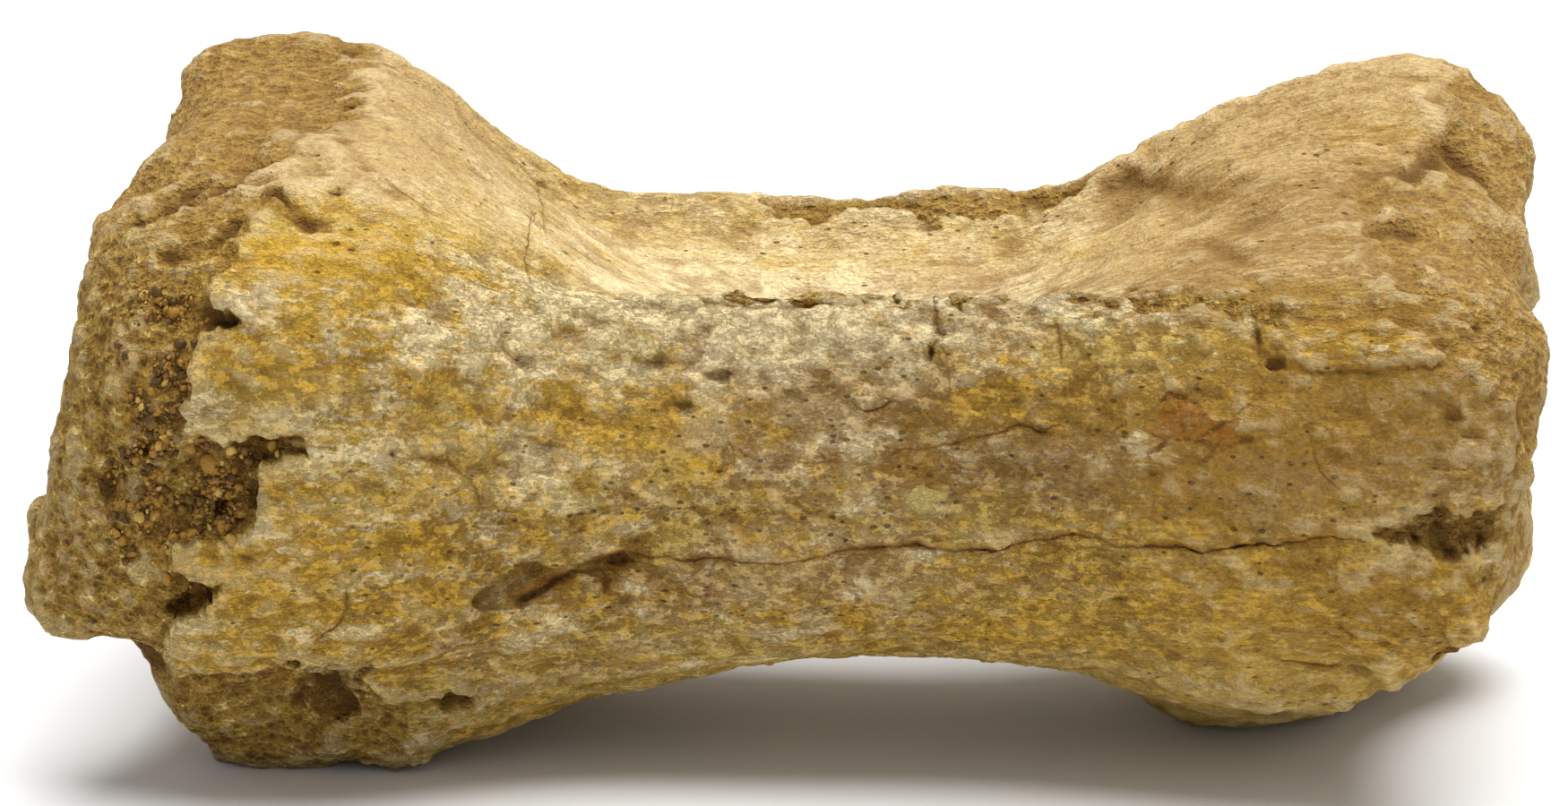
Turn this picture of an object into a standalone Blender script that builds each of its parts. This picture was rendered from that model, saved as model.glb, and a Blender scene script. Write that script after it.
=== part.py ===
"""Fossil spinosaurid bone: the worn centrum of a tail vertebra, lying on its keel.

The bone is one solid. Rails run along it from the left rim to the right rim, each a line that a
finger could follow, such as the near ridge or the keel. The skin is lofted through the rails, closed
by a worn cap at each end, and then sculpted: the hard outer crust stops short of both ends, and
hollows, lumps and a broken strip of the old arch lie on it.

Units in the tables are millimetres. +X runs along the bone, +Y away from its near side, +Z up.
The origin is on the ground under the middle of the bone. The groove of the nerve canal is on top.
"""

import math
from typing import NamedTuple

import bmesh
import bpy
import numpy as np

MM = 0.001

# Driving dimensions, in millimetres.
LENGTH_SCALE = 1.0
CAP_BOX_LEFT = 3.2
CAP_BOX_RIGHT = 2.7
FACE_DISH = 4.0
FACE_DISH_REACH = 0.8
CRUST_THICKNESS = 1.1
CRUST_STEP_WIDTH = 1.2
CRUST_SWELL_LEFT = (9.0, 26.0)
CRUST_SWELL_RIGHT = (33.0, 43.0)
BOSS_START = (34.0, 43.0)
LEDGE_SETBACK = 2.3
LEDGE_EDGE = (9.0, 11.2)
LEDGE_START = (33.0, 41.0)
LEDGE_SLOPE = 0.12
REST_CUT = 0.35
CENTRE_SHIFT = (-1.2, -0.1)

# Mesh divisions.
AROUND = 80
ALONG = 61
CAP_RINGS = 12

BONE_COLOUR = (0.47, 0.34, 0.16, 1.0)
BONE_ROUGHNESS = 0.72


class Rail(NamedTuple):
    """One line along the bone: (y, z) at the waist, (x, y, z) at the widest point of each end's
    flare, the x where each flare starts, and how far the worn cap reaches past each flare."""

    name: str
    waist: tuple
    left: tuple
    right: tuple
    start: tuple
    cap: tuple


RAILS = (
    Rail("far wall", (15.5, 19.0), (-35, 22.5, 21.0), (38, 22.5, 20.5), (-2, 8), (8, 11.6)),
    Rail("far wall high", (16.4, 26.0), (-35, 22.0, 31.0), (39, 22.0, 29.5), (-6, 11), (6.5, 10.3)),
    Rail("far shoulder", (15.0, 30.4), (-35.5, 19.5, 38.5), (39, 19.5, 37.5), (-9, 12), (5, 10.3)),
    Rail("far ridge", (12.6, 31.8), (-36, 15.0, 41.6), (38.5, 15.0, 41.1), (-10.5, 12), (6.2, 11)),
    Rail("canal far slope", (8.6, 29.6), (-35.5, 10.0, 41.0), (38, 10.0, 40.0), (-7, 12), (7.3, 11)),
    Rail("canal floor far", (4.0, 27.4), (-35, 4.0, 40.2), (38, 4.0, 38.0), (-1, 10), (5.4, 10.3)),
    Rail("canal floor near", (-2.0, 27.0), (-34, -3.0, 39.2), (38, -3.0, 35.6), (3, 10), (6.6, 11)),
    Rail("canal near slope", (-8.2, 28.8), (-33, -10.0, 38.2), (38, -9.5, 34.0), (3, 10), (10.2, 10.6)),
    Rail("near ridge", (-12.4, 31.6), (-32, -16.5, 36.6), (39, -14.0, 32.2), (-7, 18), (11.5, 10)),
    Rail("near shoulder", (-14.3, 29.8), (-32, -20.0, 33.2), (39.5, -16.6, 29.4), (-6, 15), (11, 9.5)),
    Rail("near wall high", (-15.6, 25.2), (-33, -22.0, 28.0), (40, -18.2, 25.0), (-4, 12), (10.2, 8)),
    Rail("near wall", (-16.2, 20.0), (-34, -22.8, 22.0), (41, -19.2, 20.0), (-2, 11), (9.8, 5.5)),
    Rail("near wall low", (-15.6, 14.6), (-34.5, -22.2, 16.0), (41.5, -18.8, 14.5), (1, 11), (10, 3.5)),
    Rail("near lobe", (-14.8, 11.8), (-34.5, -20.8, 11.4), (40.5, -17.8, 12.2), (4, 11), (11.4, 3.5)),
    Rail("near undercut", (-13.2, 9.8), (-33.5, -18.2, 9.0), (38.5, -16.2, 10.2), (6, 12), (9.5, 5)),
    Rail("near corner", (-11.0, 8.6), (-33, -16.0, 3.7), (34, -13.6, 7.0), (4, 13), (9.5, 9.6)),
    Rail("near keel", (-7.0, 7.5), (-31, -12.0, -0.1), (30, -8.0, 4.3), (4, 13.5), (11, 13)),
    Rail("keel", (0.0, 8.2), (-30, -1.0, 0.5), (29, 2.0, -0.2), (4, 16), (12, 15)),
    Rail("far keel", (8.0, 8.0), (-31, 12.0, 1.7), (33, 12.0, 0.5), (3, 13), (11.5, 13.5)),
    Rail("far corner", (13.2, 12.0), (-34, 19.8, 8.6), (38, 19.5, 7.0), (-1, 11), (8.5, 11.5)),
)
RAIL_COUNT = len(RAILS)

# Where the hard crust stops, as (rail number, x): past it, toward the end, spongy bone shows.
CRUST_END_LEFT = (
    (0.0, -33), (1.5, -32), (3.0, -29), (4.2, -28), (5.3, -27.5), (6.5, -29.5), (7.4, -30),
    (8.0, -27.5), (8.6, -31.5), (9.4, -32), (10.2, -33), (10.7, -31), (11.1, -29.8), (11.7, -34.4),
    (12.8, -35.6), (13.5, -34), (13.9, -27), (14.5, -22.6), (15.4, -22.4), (16.4, -24), (17.2, -27),
    (18.4, -30),
)
CRUST_END_RIGHT = (
    (0.0, 38), (1.5, 40), (3.0, 42), (4.2, 41), (5.0, 37), (5.7, 34.5), (6.8, 36), (7.9, 38),
    (8.7, 40.4), (9.6, 42), (10.4, 43), (11.0, 41.5), (11.6, 43.5), (12.5, 42.4), (13.3, 38.6),
    (14.3, 36.6), (15.5, 34.5), (17.0, 35), (18.5, 36),
)


class Boss(NamedTuple):
    """A broad bump (push above 0) or dent on an end face, placed by y and z."""

    name: str
    side: int
    y: float
    z: float
    spread_y: float
    spread_z: float
    push: float


BOSSES = (
    Boss("porous lobe of the left face", -1, -11.5, 12.6, 7.5, 3.4, 2.2),
    Boss("far lobe of the right face", 1, 9.0, 8.5, 5.0, 3.5, 2.4),
    Boss("notch high on the right face", 1, 9.0, 31.6, 7.0, 1.5, -1.0),
)


class Spot(NamedTuple):
    """A rounded lump (height above 0) or hollow (below 0), centred on the skin at an x and a rail
    number, with its spread along x and across the bone."""

    name: str
    x: float
    rail: float
    spread_x: float
    spread_across: float
    height: float


SPOTS = (
    Spot("rise before the right flare", 11.0, 2.8, 5.0, 7.7, 0.6),
    Spot("hollow of the right flare", 27.5, 3.2, 4.0, 8.8, -0.4),
    Spot("dip behind the right knob", 31.0, 3.2, 2.5, 8.2, -0.8),
    Spot("left end of the near ridge", -9.0, 8.2, 5.0, 4.4, -0.5),
    Spot("rise of the near ridge", 14.0, 8.2, 6.0, 4.4, 0.3),
    Spot("sag of the keel", -3.0, 15.8, 7.0, 6.6, 0.7),
    Spot("lift before the left pad", -20.0, 16.0, 4.5, 7.7, -1.3),
    Spot("sand hollow", -32.0, 11.1, 3.0, 3.0, -2.0),
    Spot("undercut hollow", -29.0, 14.7, 4.5, 3.0, -1.1),
    Spot("flake scar", -13.0, 12.1, 4.0, 1.6, -0.8),
    Spot("right end hollow", 42.0, 11.15, 2.6, 2.5, -1.8),
    Spot("groove under the right knob", 41.0, 5.0, 4.0, 2.5, -1.4),
    Spot("notch of the right face", 47.5, 6.3, 2.5, 3.8, -1.2),
    Spot("notch of the left crest", -41.5, 3.3, 1.6, 4.4, -0.9),
    Spot("hollow behind the near flake", -27.5, 8.1, 2.2, 1.9, -0.9),
    Spot("first canal pit", 20.5, 4.3, 1.8, 2.2, -0.8),
    Spot("second canal pit", 25.5, 5.3, 1.8, 1.9, -0.8),
    Spot("third canal pit", 28.8, 5.9, 1.6, 1.6, -0.7),
    Spot("far canal foramen", 1.5, 5.0, 1.4, 1.6, -0.9),
    Spot("near canal foramen", 4.0, 6.1, 1.4, 1.6, -0.8),
    Spot("pinch of the far wall", 4.0, 0.2, 9.0, 7.2, -0.9),
    Spot("chip of the far rim", -39.0, 0.6, 2.6, 3.3, -1.5),
    Spot("chip of the far corner", -37.0, 18.7, 3.0, 3.3, -1.3),
    Spot("lump of the left face", -43.0, 10.0, 2.0, 5.5, 0.6),
)

# The broken base of the arch: a strip of rough bone along each ridge, between two x values.
ARCH_RAILS = (3.1, 7.9)
ARCH_SPAN = (-6.0, 21.0)
ARCH_HALF_WIDTH = 0.42
ARCH_DEPTH = 0.55


def smooth_step(low, high, value):
    """0 below low, 1 above high, with level ends between."""
    t = np.clip((value - low) / (high - low), 0.0, 1.0)
    return t * t * (3.0 - 2.0 * t)


def through_rails(values, position):
    """A smooth closed curve through one value for each rail, read at positions in rails."""
    value = np.asarray(values, float)
    index = np.floor(position).astype(int)
    t = position - index
    before, here, after, beyond = (value[(index + k) % RAIL_COUNT] for k in (-1, 0, 1, 2))
    bend = 2 * before - 5 * here + 4 * after - beyond + t * (3 * (here - after) + beyond - before)
    return here + 0.5 * t * (after - before + t * bend)


def round_the_bone(pairs, position):
    """Straight runs through (rail number, value) pairs, closed round the bone."""
    rails, values = np.array(pairs, float).T
    rails = np.append(rails, rails[0] + RAIL_COUNT)
    return np.interp(position, rails, np.append(values, values[0]))


def rail_distance(position, rail):
    """How many rails lie between two positions, the short way round."""
    return (position - rail + RAIL_COUNT / 2) % RAIL_COUNT - RAIL_COUNT / 2


def lattice_noise(points, size, seed):
    """Smooth noise from -1 to 1: hashed values at the corners of cubes of this size, blended."""
    scaled = points / size
    cell = np.floor(scaled).astype(np.int64)
    blend = scaled - cell
    blend = blend * blend * (3 - 2 * blend)
    total = np.zeros(points.shape[:-1])
    for corner in np.ndindex(2, 2, 2):
        at = (cell + corner) * (73856093, 19349663, 83492791)
        mixed = np.bitwise_xor.reduce(at, axis=-1) ^ (seed * 2654435761)
        mixed = (mixed ^ (mixed >> 13)) * 1274126177 & 0x7FFFFFFF
        mixed = (mixed ^ (mixed >> 16)) & 0xFFFF
        weight = np.prod(np.where(corner, blend, 1 - blend), axis=-1)
        total += weight * (mixed / 32767.5 - 1)
    return total


def flare(x, start, end, foot):
    """0 where a flare starts and 1 at its widest. It is full before the end; foot delays its start."""
    t = np.clip((x - start) / (end - start) / 0.84, 0.0, 1.0) ** foot
    return t * t * (3.0 - 2.0 * t)


def cap_ring(turn, rim, reach, side, boxiness):
    """One ring of an end cap. turn is 0 at the rim and a quarter turn at the face's middle, along
    a superellipse that pulls the rim inward as it reaches out, with a dished face."""
    out = math.sin(turn) ** (2 / boxiness)
    width = math.cos(turn) ** (2 / boxiness) if turn < math.pi / 2 else 0.0
    x, y, z = rim
    face_x = np.mean(x + side * reach)
    own = smooth_step(0.15, 0.8, width)
    dish = FACE_DISH * max(0.0, 1 - (width / FACE_DISH_REACH) ** 2) ** 1.5
    ring_x = (x + side * reach * out) * own + face_x * (1 - own) - side * dish
    return np.stack(
        [ring_x, y.mean() + (y - y.mean()) * width, z.mean() + (z - z.mean()) * width], axis=-1
    )


def lofted_skin(position):
    """The smooth skin as an array of rings by points round each ring, from face to face."""

    def column(pick):
        return through_rails([pick(rail) for rail in RAILS], position)

    waist_y, waist_z = (column(lambda r, k=k: r.waist[k]) for k in (0, 1))
    left = [column(lambda r, k=k: r.left[k]) for k in (0, 1, 2)]
    right = [column(lambda r, k=k: r.right[k]) for k in (0, 1, 2)]
    start_left, start_right = (column(lambda r, k=k: r.start[k]) for k in (0, 1))
    cap_left, cap_right = (column(lambda r, k=k: r.cap[k]) for k in (0, 1))

    turns = np.linspace(0.0, math.pi / 2, CAP_RINGS + 1)
    rings = [cap_ring(turn, left, cap_left, -1, CAP_BOX_LEFT) for turn in turns[::-1]]
    body_rings = ALONG - 2 * CAP_RINGS
    for step in range(1, body_rings):
        share = 0.5 - 0.5 * math.cos(math.pi * step / body_rings)
        share = 0.45 * share + 0.55 * step / body_rings
        x = left[0] + (right[0] - left[0]) * share
        to_left = flare(x, start_left, left[0], 1.25)
        to_right = flare(x, start_right, right[0], 1.0)
        y = waist_y + (left[1] - waist_y) * to_left + (right[1] - waist_y) * to_right
        z = waist_z + (left[2] - waist_z) * to_left + (right[2] - waist_z) * to_right
        rings.append(np.stack([x, y, z], axis=-1))
    rings += [cap_ring(turn, right, cap_right, 1, CAP_BOX_RIGHT) for turn in turns]
    skin = np.array(rings)
    for boss in BOSSES:
        reach = smooth_step(*BOSS_START, boss.side * skin[..., 0])
        away = ((skin[..., 1] - boss.y) / boss.spread_y) ** 2 + ((skin[..., 2] - boss.z) / boss.spread_z) ** 2
        skin[..., 0] += boss.side * boss.push * reach * np.exp(-away / 2)
    ledge_height = skin[..., 2] + 1.8 * lattice_noise(skin, 8.0, 7) - LEDGE_SLOPE * (skin[..., 1] + 15)
    below_ledge = 1 - smooth_step(*LEDGE_EDGE, ledge_height)
    skin[..., 0] += LEDGE_SETBACK * below_ledge * smooth_step(*LEDGE_START, -skin[..., 0])
    return skin


def off_the_faces(inner, outer):
    """For each ring, 1 along the body, falling to 0 on each end face between two shares of its size."""
    turns = np.linspace(0.0, math.pi / 2, CAP_RINGS + 1)
    cap = smooth_step(inner, outer, np.cos(turns))
    return np.concatenate([cap[::-1], np.ones(ALONG - 2 * CAP_RINGS - 1), cap])[:, None]


def outward(skin):
    """Unit normals of the ring array, pointing out of the bone."""
    along = np.gradient(skin, axis=0)
    round_ring = np.roll(skin, -1, axis=1) - np.roll(skin, 1, axis=1)
    normal = np.cross(round_ring, along)
    normal[[0, -1]] = 0.0
    normal[0, :, 0], normal[-1, :, 0] = -1.0, 1.0
    normal /= np.linalg.norm(normal, axis=-1, keepdims=True)
    facing = np.sum(normal * (skin - skin.mean(axis=(0, 1))), axis=-1)
    return normal if facing.sum() > 0 else -normal


def sculpted_height(skin, position):
    """How far each point of the skin moves out, in millimetres: crust steps, spots and lumps."""
    x = skin[..., 0]
    left_end = round_the_bone(CRUST_END_LEFT, position)
    right_end = round_the_bone(CRUST_END_RIGHT, position)
    ragged = 1.1 * lattice_noise(skin, 3.6, 5)
    past_left = smooth_step(0.0, CRUST_STEP_WIDTH, left_end - x + ragged)
    past_right = smooth_step(0.0, CRUST_STEP_WIDTH, x - right_end + ragged)
    spongy = np.maximum(past_left, past_right)
    spongy = np.maximum(spongy, 1 - off_the_faces(0.55, 0.8))
    swell = smooth_step(*CRUST_SWELL_LEFT, -x) + smooth_step(*CRUST_SWELL_RIGHT, x)
    height = CRUST_THICKNESS * (swell - spongy)
    off_face = off_the_faces(0.15, 0.6)
    for spot in SPOTS:
        miss = (x - spot.x) ** 2 + (4 * rail_distance(position, spot.rail)) ** 2 + 1e3 * (1 - off_face)
        centre = skin[np.unravel_index(np.argmin(miss), miss.shape)]
        away = (skin - (spot.x, *centre[1:])) / (spot.spread_x, spot.spread_across, spot.spread_across)
        height = height + off_face * spot.height * np.exp(-np.sum(away**2, axis=-1) / 2)
    height += 0.35 * lattice_noise(skin, 11.0, 1) + 0.16 * lattice_noise(skin, 5.0, 2)
    height += spongy * (0.45 * lattice_noise(skin, 5.5, 3) + 0.35 * lattice_noise(skin, 3.2, 4))
    in_span = smooth_step(ARCH_SPAN[0], ARCH_SPAN[0] + 3, x) * smooth_step(-ARCH_SPAN[1], 3 - ARCH_SPAN[1], -x)
    for rail in ARCH_RAILS:
        strip = np.exp(-((rail_distance(position, rail) / ARCH_HALF_WIDTH) ** 2))
        height -= strip * in_span * ARCH_DEPTH * (0.6 + 0.8 * lattice_noise(skin, 3.0, 6))
    return height


def sculpted_skin():
    """The finished skin as an array of rings by points, in millimetres, resting at z = 0."""
    position = np.arange(AROUND) * RAIL_COUNT / AROUND
    skin = lofted_skin(position)
    height = sculpted_height(skin, np.broadcast_to(position, skin.shape[:2]))
    skin = skin + outward(skin) * height[..., None]
    skin[[0, -1]] = skin[[0, -1]].mean(axis=1, keepdims=True)
    return (skin + (*CENTRE_SHIFT, -REST_CUT)) * LENGTH_SCALE


def bone_material():
    """Tan, faintly rough fossil bone."""
    material = bpy.data.materials.new("fossil_bone")
    material.use_nodes = True
    shader = material.node_tree.nodes["Principled BSDF"]
    shader.inputs["Base Color"].default_value = BONE_COLOUR
    shader.inputs["Roughness"].default_value = BONE_ROUGHNESS
    shader.inputs["Metallic"].default_value = 0.0
    material.diffuse_color = BONE_COLOUR
    return material


def make_bone(collection):
    """A sphere whose rings of latitude become the rings of the skin."""
    bpy.ops.mesh.primitive_uv_sphere_add(segments=AROUND, ring_count=ALONG, radius=1.0)
    bone = bpy.context.object
    bone.name = bone.data.name = "bone"
    skin = sculpted_skin() * MM
    for vertex in bone.data.vertices:
        x, y, z = vertex.co
        ring = round((0.5 - math.asin(max(-1.0, min(1.0, z))) / math.pi) * ALONG)
        place = round(math.atan2(y, x) / (2 * math.pi) * AROUND) % AROUND
        vertex.co = skin[ring, place]
    bone.data.materials.append(bone_material())
    for other in bone.users_collection:
        other.objects.unlink(bone)
    collection.objects.link(bone)
    mesh = bmesh.new()
    mesh.from_mesh(bone.data)
    bmesh.ops.recalc_face_normals(mesh, faces=mesh.faces)
    mesh.to_mesh(bone.data)
    mesh.free()
    bone.data.shade_smooth()
    return bone


def cut_resting_flats(bone, collection):
    """A slab below the ground takes off what the bone rests on, and leaves small flat spots."""
    bpy.ops.mesh.primitive_cube_add(size=1.0)
    slab = bpy.context.object
    slab.name = "ground_slab"
    slab.data.transform(slab.matrix_world)
    for vertex in slab.data.vertices:
        vertex.co = (vertex.co.x * 0.2, vertex.co.y * 0.1, (vertex.co.z - 0.5) * 0.02)
    slab.hide_render = True
    slab.display_type = "WIRE"
    for other in slab.users_collection:
        other.objects.unlink(slab)
    collection.objects.link(slab)
    cut = bone.modifiers.new("resting_flats", "BOOLEAN")
    cut.operation = "DIFFERENCE"
    cut.solver = "EXACT"
    cut.object = slab


def main():
    for obj in list(bpy.data.objects):
        bpy.data.objects.remove(obj)
    parts = bpy.data.collections.new("fossil_spinosaurid_bone")
    cutters = bpy.data.collections.new("cutters")
    bpy.context.scene.collection.children.link(parts)
    bpy.context.scene.collection.children.link(cutters)
    bone = make_bone(parts)
    cut_resting_flats(bone, cutters)


main()
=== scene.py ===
"""The looks of the fossil spinosaurid bone, the worn centrum of a tail vertebra.

The skin is one closed grid of rings. It starts from the same rails and sizes as the solid, and then
takes finer relief: the broken edge of the crust, spongy bone, cracks, flake scars and pits. What the
photograph shows is placed by the pixel where it is seen and carried along that pixel's ray on to the
skin, so it lies on the bone from every side. Lengths are in millimetres until a mesh is made.
"""

import logging
import math
from dataclasses import dataclass, field
from enum import Enum
from typing import Any, NamedTuple

import bmesh
import bpy
import numpy as np
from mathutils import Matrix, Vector


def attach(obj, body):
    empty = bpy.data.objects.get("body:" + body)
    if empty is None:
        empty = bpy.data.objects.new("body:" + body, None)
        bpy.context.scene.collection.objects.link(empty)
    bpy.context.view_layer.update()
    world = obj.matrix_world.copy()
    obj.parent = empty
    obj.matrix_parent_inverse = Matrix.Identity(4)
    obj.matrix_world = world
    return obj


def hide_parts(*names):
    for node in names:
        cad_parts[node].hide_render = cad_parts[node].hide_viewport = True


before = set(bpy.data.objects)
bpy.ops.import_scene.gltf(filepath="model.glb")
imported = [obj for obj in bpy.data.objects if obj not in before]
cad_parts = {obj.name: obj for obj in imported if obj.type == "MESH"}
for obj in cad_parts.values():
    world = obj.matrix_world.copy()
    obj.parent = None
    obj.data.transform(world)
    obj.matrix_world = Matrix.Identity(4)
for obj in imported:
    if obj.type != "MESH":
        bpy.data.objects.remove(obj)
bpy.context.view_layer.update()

MM = 0.001
LOG = logging.getLogger("fossil_bone")

Array = np.ndarray
Pixel = tuple[float, float]
Pixels = tuple[Pixel, ...]
Colour = tuple[float, float, float, float]
Node = bpy.types.Node
Socket = bpy.types.NodeSocket

# A field's value where nothing lies near, and what bars a point from being chosen.
NOTHING = -9.0
BARRED = 1e6
# The rail past which the skin is on the near side.
NEAR_SIDE = 7.4


# The form, with the same values as the solid

class Rail(NamedTuple):
    """One line along the bone: (y, z) at the waist, (x, y, z) at the widest point of each end's
    flare, the x where each flare starts, and how far the worn cap reaches past each flare."""

    name: str
    waist: tuple
    left: tuple
    right: tuple
    start: tuple
    cap: tuple


RAILS = (
    Rail("far wall", (15.5, 19.0), (-35, 22.5, 21.0), (38, 22.5, 20.5), (-2, 8), (8, 11.6)),
    Rail("far wall high", (16.4, 26.0), (-35, 22.0, 31.0), (39, 22.0, 29.5), (-6, 11), (6.5, 10.3)),
    Rail("far shoulder", (15.0, 30.4), (-35.5, 19.5, 38.5), (39, 19.5, 37.5), (-9, 12), (5, 10.3)),
    Rail("far ridge", (12.6, 31.8), (-36, 15.0, 41.6), (38.5, 15.0, 41.1), (-10.5, 12), (6.2, 11)),
    Rail("canal far slope", (8.6, 29.6), (-35.5, 10.0, 41.0), (38, 10.0, 40.0), (-7, 12), (7.3, 11)),
    Rail("canal floor far", (4.0, 27.4), (-35, 4.0, 40.2), (38, 4.0, 38.0), (-1, 10), (5.4, 10.3)),
    Rail("canal floor near", (-2.0, 27.0), (-34, -3.0, 39.2), (38, -3.0, 35.6), (3, 10), (6.6, 11)),
    Rail("canal near slope", (-8.2, 28.8), (-33, -10.0, 38.2), (38, -9.5, 34.0), (3, 10), (10.2, 10.6)),
    Rail("near ridge", (-12.4, 31.6), (-32, -16.5, 36.6), (39, -14.0, 32.2), (-7, 18), (11.5, 10)),
    Rail("near shoulder", (-14.3, 29.8), (-32, -20.0, 33.2), (39.5, -16.6, 29.4), (-6, 15), (11, 9.5)),
    Rail("near wall high", (-15.6, 25.2), (-33, -22.0, 28.0), (40, -18.2, 25.0), (-4, 12), (10.2, 8)),
    Rail("near wall", (-16.2, 20.0), (-34, -22.8, 22.0), (41, -19.2, 20.0), (-2, 11), (9.8, 5.5)),
    Rail("near wall low", (-15.6, 14.6), (-34.5, -22.2, 16.0), (41.5, -18.8, 14.5), (1, 11), (10, 3.5)),
    Rail("near lobe", (-14.8, 11.8), (-34.5, -20.8, 11.4), (40.5, -17.8, 12.2), (4, 11), (11.4, 3.5)),
    Rail("near undercut", (-13.2, 9.8), (-33.5, -18.2, 9.0), (38.5, -16.2, 10.2), (6, 12), (9.5, 5)),
    Rail("near corner", (-11.0, 8.6), (-33, -16.0, 3.7), (34, -13.6, 7.0), (4, 13), (9.5, 9.6)),
    Rail("near keel", (-7.0, 7.5), (-31, -12.0, -0.1), (30, -8.0, 4.3), (4, 13.5), (11, 13)),
    Rail("keel", (0.0, 8.2), (-30, -1.0, 0.5), (29, 2.0, -0.2), (4, 16), (12, 15)),
    Rail("far keel", (8.0, 8.0), (-31, 12.0, 1.7), (33, 12.0, 0.5), (3, 13), (11.5, 13.5)),
    Rail("far corner", (13.2, 12.0), (-34, 19.8, 8.6), (38, 19.5, 7.0), (-1, 11), (8.5, 11.5)),
)
RAIL_COUNT = len(RAILS)

# Where the hard crust stops, as (rail number, x): past it, toward the end, spongy bone shows.
CRUST_END_LEFT = (
    (0.0, -33), (1.5, -32), (3.0, -29), (4.2, -28), (5.3, -27.5), (6.5, -29.5), (7.4, -30),
    (8.0, -27.5), (8.6, -31.5), (9.4, -32), (10.2, -33), (10.7, -31), (11.1, -29.8), (11.7, -34.4),
    (12.8, -35.6), (13.5, -34), (13.9, -27), (14.5, -22.6), (15.4, -22.4), (16.4, -24), (17.2, -27),
    (18.4, -30),
)
CRUST_END_RIGHT = (
    (0.0, 38), (1.5, 40), (3.0, 42), (4.2, 41), (5.0, 37), (5.7, 34.5), (6.8, 36), (7.9, 38),
    (8.7, 40.4), (9.6, 42), (10.4, 43), (11.0, 41.5), (11.6, 43.5), (12.5, 42.4), (13.3, 38.6),
    (14.3, 36.6), (15.5, 34.5), (17.0, 35), (18.5, 36),
)


class Boss(NamedTuple):
    """A broad bump (push above 0) or dent on an end face, placed by y and z."""

    name: str
    side: int
    y: float
    z: float
    spread_y: float
    spread_z: float
    push: float


BOSSES = (
    Boss("porous lobe of the left face", -1, -11.5, 12.6, 7.5, 3.4, 2.2),
    Boss("far lobe of the right face", 1, 9.0, 8.5, 5.0, 3.5, 2.4),
    Boss("notch high on the right face", 1, 9.0, 31.6, 7.0, 1.5, -1.0),
)


class Spot(NamedTuple):
    """A rounded lump (height above 0) or hollow (below 0), centred on the skin at an x and a rail
    number, with its spread along x and across the bone."""

    name: str
    x: float
    rail: float
    spread_x: float
    spread_across: float
    height: float


SPOTS = (
    Spot("rise before the right flare", 11.0, 2.8, 5.0, 7.7, 0.6),
    Spot("hollow of the right flare", 27.5, 3.2, 4.0, 8.8, -0.4),
    Spot("dip behind the right knob", 31.0, 3.2, 2.5, 8.2, -0.8),
    Spot("left end of the near ridge", -9.0, 8.2, 5.0, 4.4, -0.5),
    Spot("rise of the near ridge", 14.0, 8.2, 6.0, 4.4, 0.3),
    Spot("sag of the keel", -3.0, 15.8, 7.0, 6.6, 0.7),
    Spot("lift before the left pad", -20.0, 16.0, 4.5, 7.7, -1.3),
    Spot("sand hollow", -32.0, 11.1, 3.0, 3.0, -2.0),
    Spot("undercut hollow", -29.0, 14.7, 4.5, 3.0, -1.1),
    Spot("flake scar", -13.0, 12.1, 4.0, 1.6, -0.8),
    Spot("right end hollow", 42.0, 11.15, 2.6, 2.5, -1.8),
    Spot("groove under the right knob", 41.0, 5.0, 4.0, 2.5, -1.4),
    Spot("notch of the right face", 47.5, 6.3, 2.5, 3.8, -1.2),
    Spot("notch of the left crest", -41.5, 3.3, 1.6, 4.4, -0.9),
    Spot("hollow behind the near flake", -27.5, 8.1, 2.2, 1.9, -0.9),
    Spot("first canal pit", 20.5, 4.3, 1.8, 2.2, -0.8),
    Spot("second canal pit", 25.5, 5.3, 1.8, 1.9, -0.8),
    Spot("third canal pit", 28.8, 5.9, 1.6, 1.6, -0.7),
    Spot("far canal foramen", 1.5, 5.0, 1.4, 1.6, -0.9),
    Spot("near canal foramen", 4.0, 6.1, 1.4, 1.6, -0.8),
    Spot("pinch of the far wall", 4.0, 0.2, 9.0, 7.2, -0.9),
    Spot("chip of the far rim", -39.0, 0.6, 2.6, 3.3, -1.5),
    Spot("chip of the far corner", -37.0, 18.7, 3.0, 3.3, -1.3),
    Spot("lump of the left face", -43.0, 10.0, 2.0, 5.5, 0.6),
)


# What the photograph shows, by pixel

# The crust's broken edge, from the top of the photograph to the bottom.
CRUST_EDGE_LEFT: Pixels = (
    (430, 57), (412, 92), (405, 118), (400, 150), (352, 172), (325, 187), (312, 200), (310, 208),
    (318, 215), (320, 222), (328, 228), (340, 240), (352, 252), (360, 265), (345, 262), (330, 248),
    (318, 238), (300, 232), (280, 235), (275, 243), (272, 262), (262, 270), (264, 285), (258, 300),
    (245, 312), (240, 325), (243, 340), (252, 350), (262, 355), (268, 362), (268, 368), (250, 370),
    (240, 373), (228, 378), (226, 392), (222, 400), (215, 410), (225, 430), (218, 445), (212, 455),
    (210, 470), (205, 480), (215, 492), (240, 495), (265, 497), (290, 490), (345, 498), (345, 503),
    (330, 507), (310, 512), (295, 520), (293, 528), (280, 535), (283, 560), (280, 572), (287, 580),
    (278, 590), (260, 600), (240, 605), (200, 610), (195, 620), (197, 635), (253, 650), (230, 670),
    (205, 680), (190, 690), (187, 705), (205, 727), (230, 737), (250, 743), (275, 740), (310, 726),
    (340, 730), (370, 733), (380, 745), (395, 750), (410, 745), (405, 755), (402, 765), (415, 775),
    (440, 785), (455, 788), (490, 780), (510, 776), (530, 782), (530, 795), (450, 800), (455, 810),
    (458, 830),
)
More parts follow.
